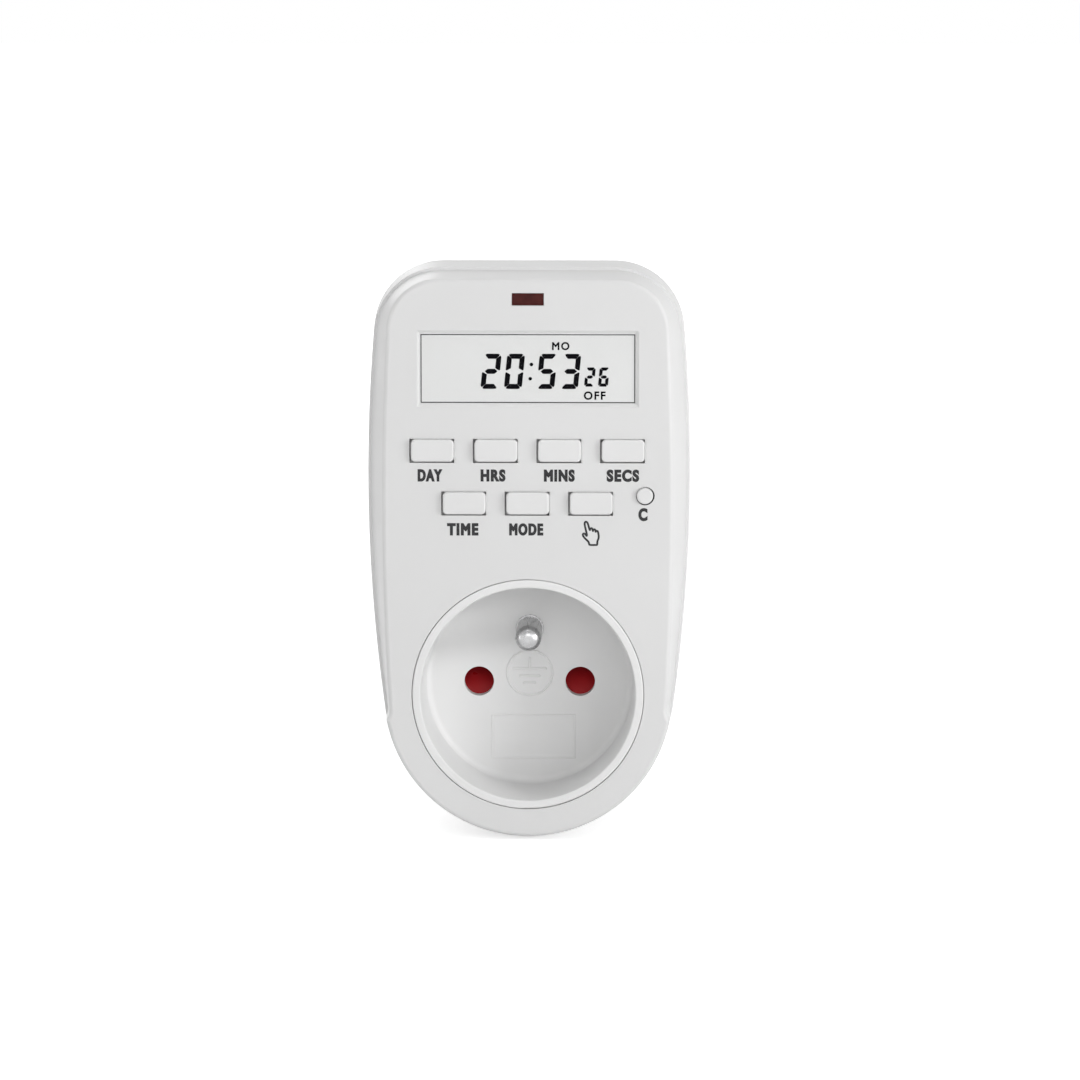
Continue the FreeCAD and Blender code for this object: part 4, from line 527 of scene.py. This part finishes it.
def spread(tree, value, low=0, high=1):
    """Stretches a noise, which keeps to the middle of its range, over all of another range."""
    return ramp(tree, value, 0.3, 0.7, low, high)


def blend_colours(tree, share, first, second):
    """The first colour where the share is 0 and the second where it is 1."""
    made = add_node(tree, "ShaderNodeMix", data_type="RGBA")
    tree.links.new(share, made.inputs["Factor"])
    for socket, colour in ((MIX_FIRST, first), (MIX_SECOND, second)):
        if isinstance(colour, bpy.types.NodeSocket):
            tree.links.new(colour, made.inputs[socket])
        else:
            made.inputs[socket].default_value = (*colour, 1)
    return made.outputs[MIX_RESULT]


def paint(tree, shader, share, first, second):
    """Colours the shader with a blend of two colours."""
    tree.links.new(blend_colours(tree, share, first, second), shader.inputs["Base Color"])


def vary_roughness(tree, shader, value, low, high):
    """Lets the roughness follow a noise between two values."""
    tree.links.new(spread(tree, value, low, high), shader.inputs["Roughness"])


def bump(tree, shader, height, distance, strength):
    """Raises the surface by a height of so many metres at most."""
    made = add_node(tree, "ShaderNodeBump",
                    {"Height": height, "Distance": distance, "Strength": strength})
    tree.links.new(made.outputs["Normal"], shader.inputs["Normal"])


def shade(colour, factor):
    """The colour made lighter or darker."""
    return tuple(channel * factor for channel in colour)


# Materials

def moulded_plastic(name, colour, roughness=0.38, grain=1500.0, depth=0.012 * MM):
    """Injection-moulded plastic: a fine eroded grain, faint flow clouds and handling shine."""
    material, tree, shader = principled(name, colour, roughness)
    clouds = spread(tree, noise(tree, 35.0, 2.0))
    paint(tree, shader, clouds, shade(colour, 0.985), shade(colour, 1.01))
    vary_roughness(tree, shader, noise(tree, 120.0, 3.0), roughness - 0.05, roughness + 0.05)
    bump(tree, shader, noise(tree, grain, 2.0, 0.6), depth, 0.5)
    return material


def ink_and_painted_shade(name, colour):
    """Pad-printed ink, also used for a line of painted shade: near black, a little thin in places, with a
    matt crust.
    """
    material, tree, shader = principled(name, colour, 0.5, Specular_IOR_Level=0.3)
    wear = noise(tree, 2500.0, 3.0)
    paint(tree, shader, ramp(tree, wear, 0.35, 0.65, 0, 1), colour, shade(colour, 2.2))
    bump(tree, shader, wear, 0.004 * MM, 0.4)
    return material


def display_cell(name):
    """The display's pale grey ground under its polariser."""
    colour = (0.745, 0.75, 0.745)
    material, tree, shader = principled(name, colour, 0.42)
    paint(tree, shader, noise(tree, 60.0, 2.0), shade(colour, 0.985), shade(colour, 1.015))
    bump(tree, shader, noise(tree, 6000.0, 2.0), 0.003 * MM, 0.3)
    return material


def display_segment(name):
    """Switched-on liquid crystal: black with a faint violet cast."""
    colour = (0.002, 0.002, 0.003)
    material, tree, shader = principled(name, colour, 0.45, Specular_IOR_Level=0.02)
    paint(tree, shader, noise(tree, 1800.0, 2.0), colour, shade(colour, 1.6))
    return material


def clear_pane(name):
    """Clear polished pane: nearly invisible head on, mirroring at a glancing angle."""
    material, tree, shader = principled(name, (0.05, 0.05, 0.05), 0.04, Alpha=0.02)
    vary_roughness(tree, shader, noise(tree, 90.0, 2.0), 0.02, 0.06)
    return material


def tinted_pane(name, colour, deep):
    """Dark translucent plastic: a smooth skin, with a deeper colour in clouds behind it."""
    material, tree, shader = principled(name, colour, 0.2, Specular_IOR_Level=0.06)
    paint(tree, shader, spread(tree, noise(tree, 700.0, 2.0)), deep, colour)
    bump(tree, shader, noise(tree, 2200.0, 2.0), 0.004 * MM, 0.3)
    return material


def metal(name, colour, roughness, brush=(1, 1, 1)):
    """Plated or rolled metal: a satin sheen that streaks along its drawing direction."""
    material, tree, shader = principled(name, colour, roughness, Metallic=1.0)
    stretch = add_node(tree, "ShaderNodeMapping", {"Vector": object_place(tree), "Scale": brush})
    grain = noise(tree, 900.0, 3.0, 0.6, stretch.outputs["Vector"])
    vary_roughness(tree, shader, grain, roughness - 0.07, roughness + 0.08)
    tarnish = noise(tree, 260.0, 4.0, 0.6)
    paint(tree, shader, ramp(tree, tarnish, 0.35, 0.75, 0, 1), colour, shade(colour, 0.86))
    bump(tree, shader, grain, 0.003 * MM, 0.35)
    return material


def circuit_board(name):
    """Green solder resist over copper tracks, which stand up a little and show paler."""
    resist, copper = (0.012, 0.10, 0.035), (0.03, 0.19, 0.06)
    material, tree, shader = principled(name, resist, 0.32)
    front_plane = add_node(tree, "ShaderNodeMapping",
                           {"Vector": object_place(tree), "Rotation": FACING_FRONT})
    bricks = add_node(tree, "ShaderNodeTexBrick",
                      {"Vector": front_plane.outputs["Vector"], "Scale": 260.0, "Mortar Size": 0.018,
                       "Color1": (1, 1, 1, 1), "Color2": (1, 1, 1, 1), "Mortar": (0, 0, 0, 1)})
    tracks = bricks.outputs["Fac"]
    paint(tree, shader, tracks, copper, resist)
    bump(tree, shader, tracks, 0.03 * MM, 0.6)
    return material


def rubber(name, colour, roughness=0.75):
    """Matt rubber or moulded epoxy with a dry, fine surface; also the black of a ring of painted shade."""
    material, tree, shader = principled(name, colour, roughness)
    grain = noise(tree, 1900.0, 4.0, 0.65)
    paint(tree, shader, grain, shade(colour, 0.8), shade(colour, 1.25))
    vary_roughness(tree, shader, grain, roughness - 0.08, roughness + 0.08)
    bump(tree, shader, grain, 0.02 * MM, 0.4)
    return material


def striped(name, colour, stripe, pitch, share, roughness):
    """Lacquer or insulation with upright stripes, each so large a share of its pitch."""
    material, tree, shader = principled(name, colour, roughness)
    parts = add_node(tree, "ShaderNodeSeparateXYZ", {"Vector": object_place(tree)})
    phase = calculate(tree, "FRACT", calculate(tree, "DIVIDE", parts.outputs["X"], pitch))
    edge = ramp(tree, phase, share - 0.02, share + 0.02, 1, 0)
    dust = noise(tree, 1500.0, 3.0)
    base = blend_colours(tree, dust, shade(colour, 0.94), shade(colour, 1.05))
    paint(tree, shader, edge, base, stripe)
    bump(tree, shader, dust, 0.01 * MM, 0.3)
    return material


white_plastic = moulded_plastic("housing_white_moulding", (0.695, 0.695, 0.694))
socket_plastic = moulded_plastic("socket_white_moulding", (0.77, 0.77, 0.768), 0.5)
key_plastic = moulded_plastic("key_white_moulding", (0.725, 0.725, 0.724), 0.36)
black_ink = ink_and_painted_shade("black_legend_ink", (0.012, 0.012, 0.013))
# Near black for the line round the display film: painted shade for the shadow in the gap round the pane
edge_painted_shade = ink_and_painted_shade("display_edge_painted_shade", (0.03, 0.03, 0.032))
# Black for a ring down in the reset key's gap: painted shade, no part of the timer
gap_shadow = rubber("painted_gap_shade", (0.02, 0.02, 0.021))
cell_ground = display_cell("display_ground")
segment_black = display_segment("display_segments_black")
pane_clear = clear_pane("display_pane_clear")
plate_film = moulded_plastic("satin_plate_film", (0.55, 0.56, 0.57), 0.42, 3000.0, 0.004 * MM)
lamp_red = tinted_pane("indicator_red_tint", (0.078, 0.018, 0.016), (0.05, 0.012, 0.011))
lamp_dome = tinted_pane("lamp_dome_red", (0.35, 0.02, 0.018), (0.2, 0.01, 0.01))
shutter_red = moulded_plastic("shutter_red_moulding", (0.5, 0.015, 0.02), 0.32)
zinc = metal("zinc_plated_steel", (0.6, 0.6, 0.61), 0.32)
nickel = metal("nickel_plating", (0.6, 0.59, 0.575), 0.24, (1, 0.08, 1))
# The earth pin's nickel, darker than the other pins': painted shade for the darker reflections the pin
# shows down in its socket
shaded_pin_nickel = metal("earth_pin_shaded_nickel", (0.43, 0.43, 0.435), 0.27, (1, 0.08, 1))
rolled_brass = metal("rolled_brass", (0.72, 0.52, 0.25), 0.3, (1, 1, 0.06))
grey_plastic = moulded_plastic("carrier_grey_moulding", (0.42, 0.42, 0.42), 0.5)
board_green = circuit_board("board_green_resist")
black_rubber = rubber("contact_strip_rubber", (0.03, 0.03, 0.031))
switch_black = moulded_plastic("switch_black_moulding", (0.03, 0.03, 0.031), 0.5)
chip_epoxy = rubber("chip_black_epoxy", (0.022, 0.022, 0.023), 0.5)
sleeve_black = striped(
    "capacitor_black_sleeve", (0.03, 0.03, 0.035), (0.6, 0.6, 0.6), 9.5 * MM, 0.14, 0.3)
diode_black = striped(
    "diode_black_body", (0.025, 0.025, 0.025), (0.55, 0.55, 0.55), 7.8 * MM, 0.12, 0.45)
relay_blue = moulded_plastic("relay_blue_case", (0.035, 0.11, 0.38), 0.45)
film_yellow = moulded_plastic("film_capacitor_yellow", (0.7, 0.52, 0.09), 0.4)
surge_blue = moulded_plastic("surge_arrester_blue", (0.05, 0.13, 0.42), 0.3, 700.0, 0.04 * MM)
resistor_tan = striped(
    "resistor_tan_lacquer", (0.55, 0.40, 0.24), (0.25, 0.05, 0.03), 1.6 * MM, 0.3, 0.4)
ribbon_grey = striped(
    "ribbon_grey_insulation", (0.42, 0.42, 0.43), (0.3, 0.3, 0.31), 1.176 * MM, 0.2, 0.5)

NODE_FINISH = {
    white_plastic: ("front_cover", "rear_housing"),
    socket_plastic: ("socket_cup",),
    key_plastic: ("week_key", "hour_key", "minute_key", "second_key", "clock_key", "program_key",
                  "manual_key", "reset_key"),
    pane_clear: ("display_window",),
    lamp_red: ("indicator_window",),
    lamp_dome: ("indicator_lamp",),
    shutter_red: ("shutter",),
    zinc: ("case_screws", "socket_screws", "control_board_screws", "power_board_screws",
           "carrier_screws", "shutter_spring", "timing_crystal", "backup_cell"),
    nickel: ("live_plug_pin", "neutral_plug_pin", "earth_clip_frame"),
    shaded_pin_nickel: ("earth_pin",),
    rolled_brass: ("earth_strap", "earth_receptacle", "live_inlet_bar", "neutral_bar", "live_contact",
                   "neutral_contact", "live_outlet_bar"),
    grey_plastic: ("contact_carrier", "display_frame"),
    board_green: ("control_board", "power_board"),
    cell_ground: ("display_panel",),
    black_rubber: ("contact_strips",),
    switch_black: ("key_switches", "week_switch_plunger", "hour_switch_plunger",
                   "minute_switch_plunger", "second_switch_plunger", "clock_switch_plunger",
                   "program_switch_plunger", "manual_switch_plunger", "reset_switch_plunger"),
    chip_epoxy: ("controller_chip",),
    sleeve_black: ("smoothing_capacitors",),
    diode_black: ("rectifier_diodes",),
    relay_blue: ("relay",),
    film_yellow: ("film_capacitor",),
    surge_blue: ("surge_arrester",),
    resistor_tan: ("bleed_resistor",),
    ribbon_grey: ("ribbon_cable",),
}


def finish_nodes():
    """Gives every node of the construction its finish."""
    for material, names in NODE_FINISH.items():
        for name in names:
            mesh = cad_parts[name].data
            mesh.materials.clear()
            mesh.materials.append(material)


# Printed legends

def press_flat(piece, middle, size, front, thickness):
    """Turns a flat shape to face the front and fits it to a width and height about its middle."""
    (x, z), (width, height) = middle, size
    piece.data.transform(Matrix.Rotation(math.radians(90), 4, "X"))
    fit(piece, Vector((x - width / 2, front, z - height / 2)),
        Vector((x + width / 2, front + thickness, z + height / 2)))
    return piece


def lettering(words, middle, size, front, thickness, bold):
    """Condensed letters facing the front: squeezed to size, made bolder all round, then flattened."""
    deselect()
    bpy.ops.object.text_add()
    new_piece().data.body = words
    new_piece().data.space_character = LETTER_SPACING
    bpy.ops.object.convert(target="CURVE")
    letters = new_piece()
    low, high = limits([point.co for spline in letters.data.splines for point in spline.bezier_points])
    squeeze = [(size[axis] - 2 * bold) / MM / (high[axis] - low[axis]) for axis in range(2)]
    letters.data.transform(Matrix.Diagonal((*squeeze, 1, 1)))
    letters.data.extrude = 0.1
    letters.data.bevel_depth = bold / MM
    letters.data.bevel_resolution = 1
    letters.data.resolution_u = 5
    bpy.ops.object.convert(target="MESH")
    return press_flat(new_piece(), middle, size, front, thickness)


def add_legends():
    """The words printed under the keys."""
    for name, (words, x, z, width) in LEGENDS.items():
        text = lettering(words, (x, z), (width, LEGEND_HEIGHT), INK_FRONT_Y, INK_THICKNESS, LEGEND_BOLD)
        complete(text, name, black_ink)
    text = lettering("C", RESET_LEGEND_MIDDLE, RESET_LEGEND_SIZE, INK_FRONT_Y, INK_THICKNESS, LEGEND_BOLD)
    complete(text, "reset_key_legend", black_ink)


def add_hand():
    """The outline of a pointing hand printed under the manual key."""
    deselect()
    bpy.ops.curve.primitive_nurbs_circle_add()
    outline = new_piece()
    outline.data.splines.clear()
    line = outline.data.splines.new("NURBS")
    line.points.add(len(HAND_OUTLINE) - 1)
    for point, (x, z) in zip(line.points, HAND_OUTLINE):
        point.co = (x, z, 0, 1)
    line.use_cyclic_u = True
    line.order_u = 3
    outline.data.resolution_u = 5
    outline.data.bevel_depth = HAND_LINE
    outline.data.bevel_resolution = 2
    bpy.ops.object.convert(target="MESH")
    hand = press_flat(new_piece(), HAND_MIDDLE, HAND_SIZE, INK_FRONT_Y, INK_THICKNESS)
    complete(hand, "manual_key_pictogram", black_ink)


# Display

def add_display_film():
    """The grey film laminated behind the front of the pane, which carries the lit digits."""
    width, height = (side - 2 * FILM_CLEAR for side in PANE_SIZE)
    film = add_block((PANE_MIDDLE.x, FILM_Y + FILM_THICKNESS / 2, PANE_MIDDLE.z),
                     (width, FILM_THICKNESS, height))
    round_edges(film, FILM_THICKNESS / 4)
    complete(film, "display_film", cell_ground)


def digit_bar(length, line, mitre, shift, clips):
    """A lit bar along X, its outer edge at z = 0: mitred ends, and the outer corner of each clipped."""
    bar = add_block((0, 0, -line / 2), (length, SEGMENT_THICKNESS, line))
    edit(bar)
    pick_faces(bar, lambda normal: normal.z < -FACING)
    bpy.ops.transform.resize(value=((length - mitre * line) / length, 1, 1))
    bpy.ops.transform.translate(value=(shift * line, 0, 0))
    for side, clip in zip((-1, 1), clips):
        pick_edges(bar, lambda a, b: max(abs(a.z), abs(b.z)) < ON_OUTER_EDGE
                   and min(a.x * side, b.x * side) > length * AT_BAR_END)
        bevel(line * clip, segments=2)
    close_edit()
    return bar


def middle_bar(length, line):
    """The bar across a digit's middle, pointed at both ends."""
    bar = add_block((0, 0, 0), (length - line, SEGMENT_THICKNESS, line))
    for side in (-1, 1):
        edit(bar)
        pick_faces(bar, lambda normal: normal.x * side > FACING)
        bpy.ops.mesh.extrude_region_move(TRANSFORM_OT_translate={"value": (side * line / 2, 0, 0)})
        bpy.ops.transform.resize(value=(1, 1, MIDDLE_BAR_POINT))
        close_edit()
    return bar


def model_bars(height, width, line):
    """One bar of each kind for a digit of that size."""
    gap = line * BAR_GAP
    upright = height / 2 - 2 * gap
    return {
        "level": digit_bar(width - 2 * gap, line, BAR_MITRE, 0, (OUTER_CLIP, OUTER_CLIP)),
        "rising": digit_bar(upright, line, UPRIGHT_MITRE, UPRIGHT_SHIFT, (OUTER_CLIP, MIDDLE_CLIP)),
        "falling": digit_bar(upright, line, UPRIGHT_MITRE, -UPRIGHT_SHIFT, (MIDDLE_CLIP, OUTER_CLIP)),
        "middle": middle_bar(width - line - 2 * gap, line),
    }


def add_digits():
    """The lit digits on the front of the film, slanted, from one set of bars for each size."""
    models = {size: model_bars(*size) for size in (LARGE_DIGIT, SMALL_DIGIT)}
    lean = Matrix.Identity(4)
    lean[0][2] = SLANT
    lit = []
    for figure, x, z, size in DIGITS:
        height, width, line = size
        corner = Matrix.Translation((x, FILM_Y - SEGMENT_THICKNESS / 2, z)) @ lean
        for letter in BARS_LIT[figure]:
            kind, across, up, degrees = BAR_PLACES[letter]
            turn = Matrix.Rotation(math.radians(degrees), 4, "Y")
            place = corner @ Matrix.Translation((across * width, 0, up * height)) @ turn
            lit.append(copy_of(models[size][kind], place))
    for bars in models.values():
        for bar in bars.values():
            bpy.data.objects.remove(bar)
    complete(join(lit), "display_digits", segment_black)


def add_colon():
    """The two dots between the hours and the minutes."""
    deselect()
    bpy.ops.mesh.primitive_cylinder_add(
        vertices=COLON_DOT_SIDES, radius=COLON_DOT_RADIUS, depth=SEGMENT_THICKNESS,
        location=(0, FILM_Y - SEGMENT_THICKNESS / 2, 0), rotation=FACING_FRONT)
    dot = new_piece()
    apply_place()
    round_edges(dot, SEGMENT_THICKNESS / 4)
    complete(repeat(dot, COLON_DOTS), "display_colon", segment_black)


def add_display_words():
    """The small weekday and the switching state beside the digits."""
    for name, words, middle, size in (("display_weekday", "MO", WEEKDAY_MIDDLE, WEEKDAY_SIZE),
                                      ("display_state", "OFF", STATE_MIDDLE, STATE_SIZE)):
        text = lettering(words, middle, size, SEGMENT_FRONT_Y, SEGMENT_THICKNESS, DISPLAY_BOLD)
        complete(text, name, segment_black)


# Marks moulded on the socket's floor

def raised_line(x, z, width, height):
    """A raised bar on the socket's floor, with its top edges rounded."""
    bar = add_block((x, WELL_FLOOR_Y - (MARK_HEIGHT - MARK_SUNK) / 2, z),
                    (width, MARK_HEIGHT + MARK_SUNK, height))
    round_front_edges(bar, WELL_FLOOR_Y - MARK_HEIGHT / 2, MARK_ROUND)
    return bar


def add_earth_mark():
    """The ring and strokes of the earth sign."""
    deselect()
    bpy.ops.mesh.primitive_torus_add(
        major_radius=EARTH_RING_RADIUS, minor_radius=MARK_LINE / 2,
        major_segments=EARTH_RING_STEPS, minor_segments=EARTH_RING_SIDES,
        location=(0, WELL_FLOOR_Y, EARTH_MARK_Z), rotation=FACING_FRONT)
    ring = new_piece()
    apply_place()
    edit(ring)
    bpy.ops.transform.resize(value=(1, 2 * MARK_HEIGHT / MARK_LINE, 1))
    close_edit()
    smooth(ring, degrees=60)
    rise, length = EARTH_STEM
    strokes = [ring, raised_line(0, EARTH_MARK_Z + rise, MARK_LINE, length)]
    for rise, length in EARTH_BARS:
        strokes.append(raised_line(0, EARTH_MARK_Z + rise, length, MARK_LINE))
    complete(join(strokes), "earth_mark", socket_plastic)


def add_bare_plate():
    """The raised outline of a plain plate on the socket's floor."""
    front = WELL_FLOOR_Y - BARE_PLATE_HEIGHT
    outline = frame_round(BARE_PLATE_MIDDLE, BARE_PLATE_SIZE, BARE_PLATE_LINE, front, 2 * BARE_PLATE_HEIGHT)
    round_front_edges(outline, front + BARE_PLATE_HEIGHT / 2, BARE_PLATE_ROUND)
    complete(outline, "bare_plate_outline", socket_plastic)


# Trim round the display and the keys

def add_window_trim():
    """The white lip that closes the gap round the pane, and a dark line round the film: painted shade
    standing for the shadow in that gap.
    """
    middle = (PANE_MIDDLE.x, PANE_MIDDLE.z)
    outside = [side + 2 * WINDOW_LIP_CLEAR for side in PANE_SIZE]
    lip = frame_round(middle, outside, WINDOW_LIP_WIDTH, PANE_LOW.y, WINDOW_LIP_DEPTH)
    complete(lip, "display_window_lip", white_plastic)
    # A dark line of painted shade round the film's edge, for the shadow in the gap round the pane
    inside = [side - 2 * BORDER_LINE - 2 * BORDER_CLEAR for side in PANE_SIZE]
    border = frame_round(middle, inside, BORDER_LINE, SEGMENT_FRONT_Y, SEGMENT_THICKNESS)
    complete(border, "display_edge_shade_line", edge_painted_shade)


def lip_boxes():
    """The upper and the right lip of a key at the middle: each one's left, bottom, right and top."""
    half_width, half_height = (side / 2 for side in KEY_CAP)
    wall_x, wall_z = half_width + KEY_GAP, half_height + KEY_GAP
    upper = (-wall_x, half_height + LIP_CLEAR, wall_x + LIP_SUNK, wall_z + LIP_SUNK)
    right = (half_width + LIP_CLEAR, -wall_z, wall_x + LIP_SUNK / 2, half_height + LIP_CLEAR + LIP_SUNK)
    return upper, right


def add_key_lips():
    """The lips that guide each key at its top and right side, with a hair's gap to the cap."""
    bars = []
    for left, bottom, right, top in lip_boxes():
        bar = add_block(((left + right) / 2, LIP_FRONT_Y + LIP_DEPTH / 2, (bottom + top) / 2),
                        (right - left, LIP_DEPTH, top - bottom))
        round_edges(bar, LIP_ROUND)
        bars.append(bar)
    lips = repeat(join(bars), KEY_PLACES)
    complete(lips, "key_opening_lips", white_plastic)


def add_reset_trim():
    """The lip over the reset key, thickest at its upper left, and a black ring down in its gap: painted
    shade that darkens the gap.
    """
    lip = ring_round(RESET_MIDDLE, RESET_RING_RADIUS, RESET_LIP_RADIUS, RESET_LIP_SHIFT,
                     LIP_FRONT_Y, RESET_LIP_DEPTH)
    complete(lip, "reset_key_lip", white_plastic)
    # A black ring of painted shade down in the gap round the cap
    shade_ring = ring_round(RESET_MIDDLE, RESET_RING_RADIUS, RESET_SHADE_RING_RADIUS, 0,
                        LIP_FRONT_Y + RESET_LIP_DEPTH, LIP_DEPTH)
    complete(shade_ring, "reset_key_shade_ring", gap_shadow)


# Spring of the shutter

def wind_coil(low, high):
    """A coil of round wire that fills the box from low to high, wound upwards by a screw."""
    middle = (low + high) / 2
    deselect()
    bpy.ops.mesh.primitive_circle_add(
        vertices=SPRING_SIDES, radius=SPRING_WIRE / 2,
        location=(middle.x, middle.y, low.z + SPRING_WIRE / 2), rotation=FACING_FRONT)
    coil = new_piece()
    bpy.ops.object.transform_apply(location=False, rotation=True, scale=True)
    edit(coil)
    bpy.ops.transform.translate(value=((high.x - low.x - SPRING_WIRE) / 2, 0, 0))
    close_edit()
    screw = coil.modifiers.new("turns", "SCREW")
    screw.iterations = SPRING_TURNS
    screw.screw_offset = (high.z - low.z - SPRING_WIRE) / SPRING_TURNS
    screw.steps = SPRING_STEPS
    screw.render_steps = SPRING_STEPS
    bpy.ops.object.modifier_apply(modifier=screw.name)
    apply_place()
    edit(coil)
    bpy.ops.mesh.fill_holes(sides=SPRING_SIDES)
    face_outwards()
    close_edit()
    smooth(coil, degrees=50)
    return coil


def add_shutter_spring():
    """The coil between its seat and the shutter's foot, built in the packed spring's box and riding on the
    housing.
    """
    low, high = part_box("shutter_spring")
    coil = wind_coil(low, high)
    complete(coil, "shutter_spring_coil", zinc)
    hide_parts("shutter_spring")
    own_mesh(coil)


# Plate on the back

def add_back_plate():
    """A bare satin film plate with rounded corners in the recess of the back wall."""
    width, height = (side - 2 * BACK_PLATE_CLEAR for side in BACK_RECESS_SIZE)
    plate = add_block((0, BACK_Y - BACK_RECESS_DEPTH + BACK_PLATE_THICKNESS / 2, BACK_RECESS_Z),
                      (width, BACK_PLATE_THICKNESS, height))
    edit(plate)
    pick_edges(plate, lambda a, b: abs(a.y - b.y) > BACK_PLATE_THICKNESS / 2)
    bevel(BACK_PLATE_CORNER, segments=8)
    pick_faces(plate, lambda normal: normal.y > FACING)
    bpy.ops.mesh.inset(thickness=BACK_PLATE_MARGIN, depth=0)
    bpy.ops.mesh.inset(thickness=BACK_GROOVE_WIDTH, depth=-BACK_GROOVE_DEPTH)
    close_edit()
    smooth(plate, degrees=30)
    complete(plate, "bare_back_plate", plate_film)


# Stage, light and camera

def seen_directly(tree):
    """1 for what the camera, a mirror or glass shows, and 0 for light that falls on the object."""
    path = add_node(tree, "ShaderNodeLightPath").outputs
    mirrored = calculate(tree, "MAXIMUM", path["Is Camera Ray"], path["Is Glossy Ray"])
    return calculate(tree, "MAXIMUM", mirrored, path["Is Transmission Ray"])


def floor_material():
    """Matt and pale for the object's light, and glowing white where it is seen, outside the shadow."""
    material = bpy.data.materials.new("pale_floor")
    material.use_nodes = True
    tree = material.node_tree
    tree.nodes.clear()
    matt = add_node(tree, "ShaderNodeBsdfDiffuse", {"Color": (FLOOR_GREY, FLOOR_GREY, FLOOR_GREY, 1)})
    away = add_node(tree, "ShaderNodeVectorMath", {0: object_place(tree)}, operation="LENGTH")
    strength = ramp(tree, away.outputs["Value"], *GLOW_RISES, GLOW_CLOSE, GLOW_FAR)
    glow = add_node(tree, "ShaderNodeEmission", {"Strength": strength})
    lit = add_node(tree, "ShaderNodeAddShader", {0: matt.outputs[0], 1: glow.outputs[0]})
    mixed = add_node(tree, "ShaderNodeMixShader",
                     {0: seen_directly(tree), 1: matt.outputs[0], 2: lit.outputs[0]})
    add_node(tree, "ShaderNodeOutputMaterial", {"Surface": mixed.outputs[0]})
    return material


def add_floor():
    """A wide pale floor under the object, white to the camera outside the object's shadow."""
    deselect()
    bpy.ops.mesh.primitive_plane_add(size=FLOOR_SIZE, location=(0, 0, cad_low.z - FLOOR_DROP))
    floor = new_piece()
    apply_place()
    floor.name = "floor"
    floor.data.materials.append(floor_material())


def add_world():
    """A studio surround: white where it is seen, and a soft light on the object, mostly from behind."""
    world = bpy.data.worlds.new("studio")
    bpy.context.scene.world = world
    world.use_nodes = True
    tree = world.node_tree
    tree.nodes.clear()
    directions = add_node(tree, "ShaderNodeTexCoord").outputs["Generated"]
    parts = add_node(tree, "ShaderNodeSeparateXYZ", {"Vector": directions})
    lit = ramp(tree, parts.outputs["Y"], -SURROUND_TURNS, SURROUND_TURNS, SURROUND_FRONT, SURROUND_BACK)
    strength = calculate(tree, "MAXIMUM", lit, seen_directly(tree))
    surround = add_node(tree, "ShaderNodeBackground", {"Color": (1, 1, 1, 1), "Strength": strength})
    add_node(tree, "ShaderNodeOutputWorld", {"Surface": surround.outputs[0]})


def add_lights():
    """Soft square lamps aimed at the object: bright from the right, with fills from the other sides."""
    for name, place, size, power in LAMPS:
        deselect()
        bpy.ops.object.light_add(type="AREA", location=place)
        lamp = new_piece()
        lamp.name = name
        lamp.data.size = size
        lamp.data.energy = power
        lamp.rotation_euler = (LAMP_AIM - Vector(place)).to_track_quat("-Z", "Y").to_euler()


def add_camera():
    """The camera at the photograph's angle, in front and a little above."""
    back = Vector((math.sin(CAMERA_TURN) * math.cos(CAMERA_RISE),
                   -math.cos(CAMERA_TURN) * math.cos(CAMERA_RISE),
                   math.sin(CAMERA_RISE)))
    right = Vector((math.cos(CAMERA_TURN), math.sin(CAMERA_TURN), 0))
    up = back.cross(right)
    deselect()
    bpy.ops.object.camera_add()
    camera = new_piece()
    camera.matrix_world = Matrix((
        (right.x, up.x, back.x, 0),
        (right.y, up.y, back.y, 0),
        (right.z, up.z, back.z, 0),
        (0, 0, 0, 1),
    ))
    camera.location = AIM + back * CAMERA_DISTANCE + right * CAMERA_SHIFT_RIGHT + up * CAMERA_SHIFT_UP
    camera.data.lens = LENS
    camera.data.sensor_width = SENSOR_WIDTH
    camera.data.clip_start = NEAREST_SEEN
    camera.data.clip_end = FARTHEST_SEEN
    bpy.context.scene.camera = camera


finish_nodes()
add_legends()
add_hand()
add_display_film()
add_digits()
add_colon()
add_display_words()
add_earth_mark()
add_bare_plate()
add_window_trim()
add_key_lips()
add_reset_trim()
add_shutter_spring()
add_back_plate()
add_floor()
add_world()
add_lights()
add_camera()
bpy.context.scene.view_settings.view_transform = "Standard"
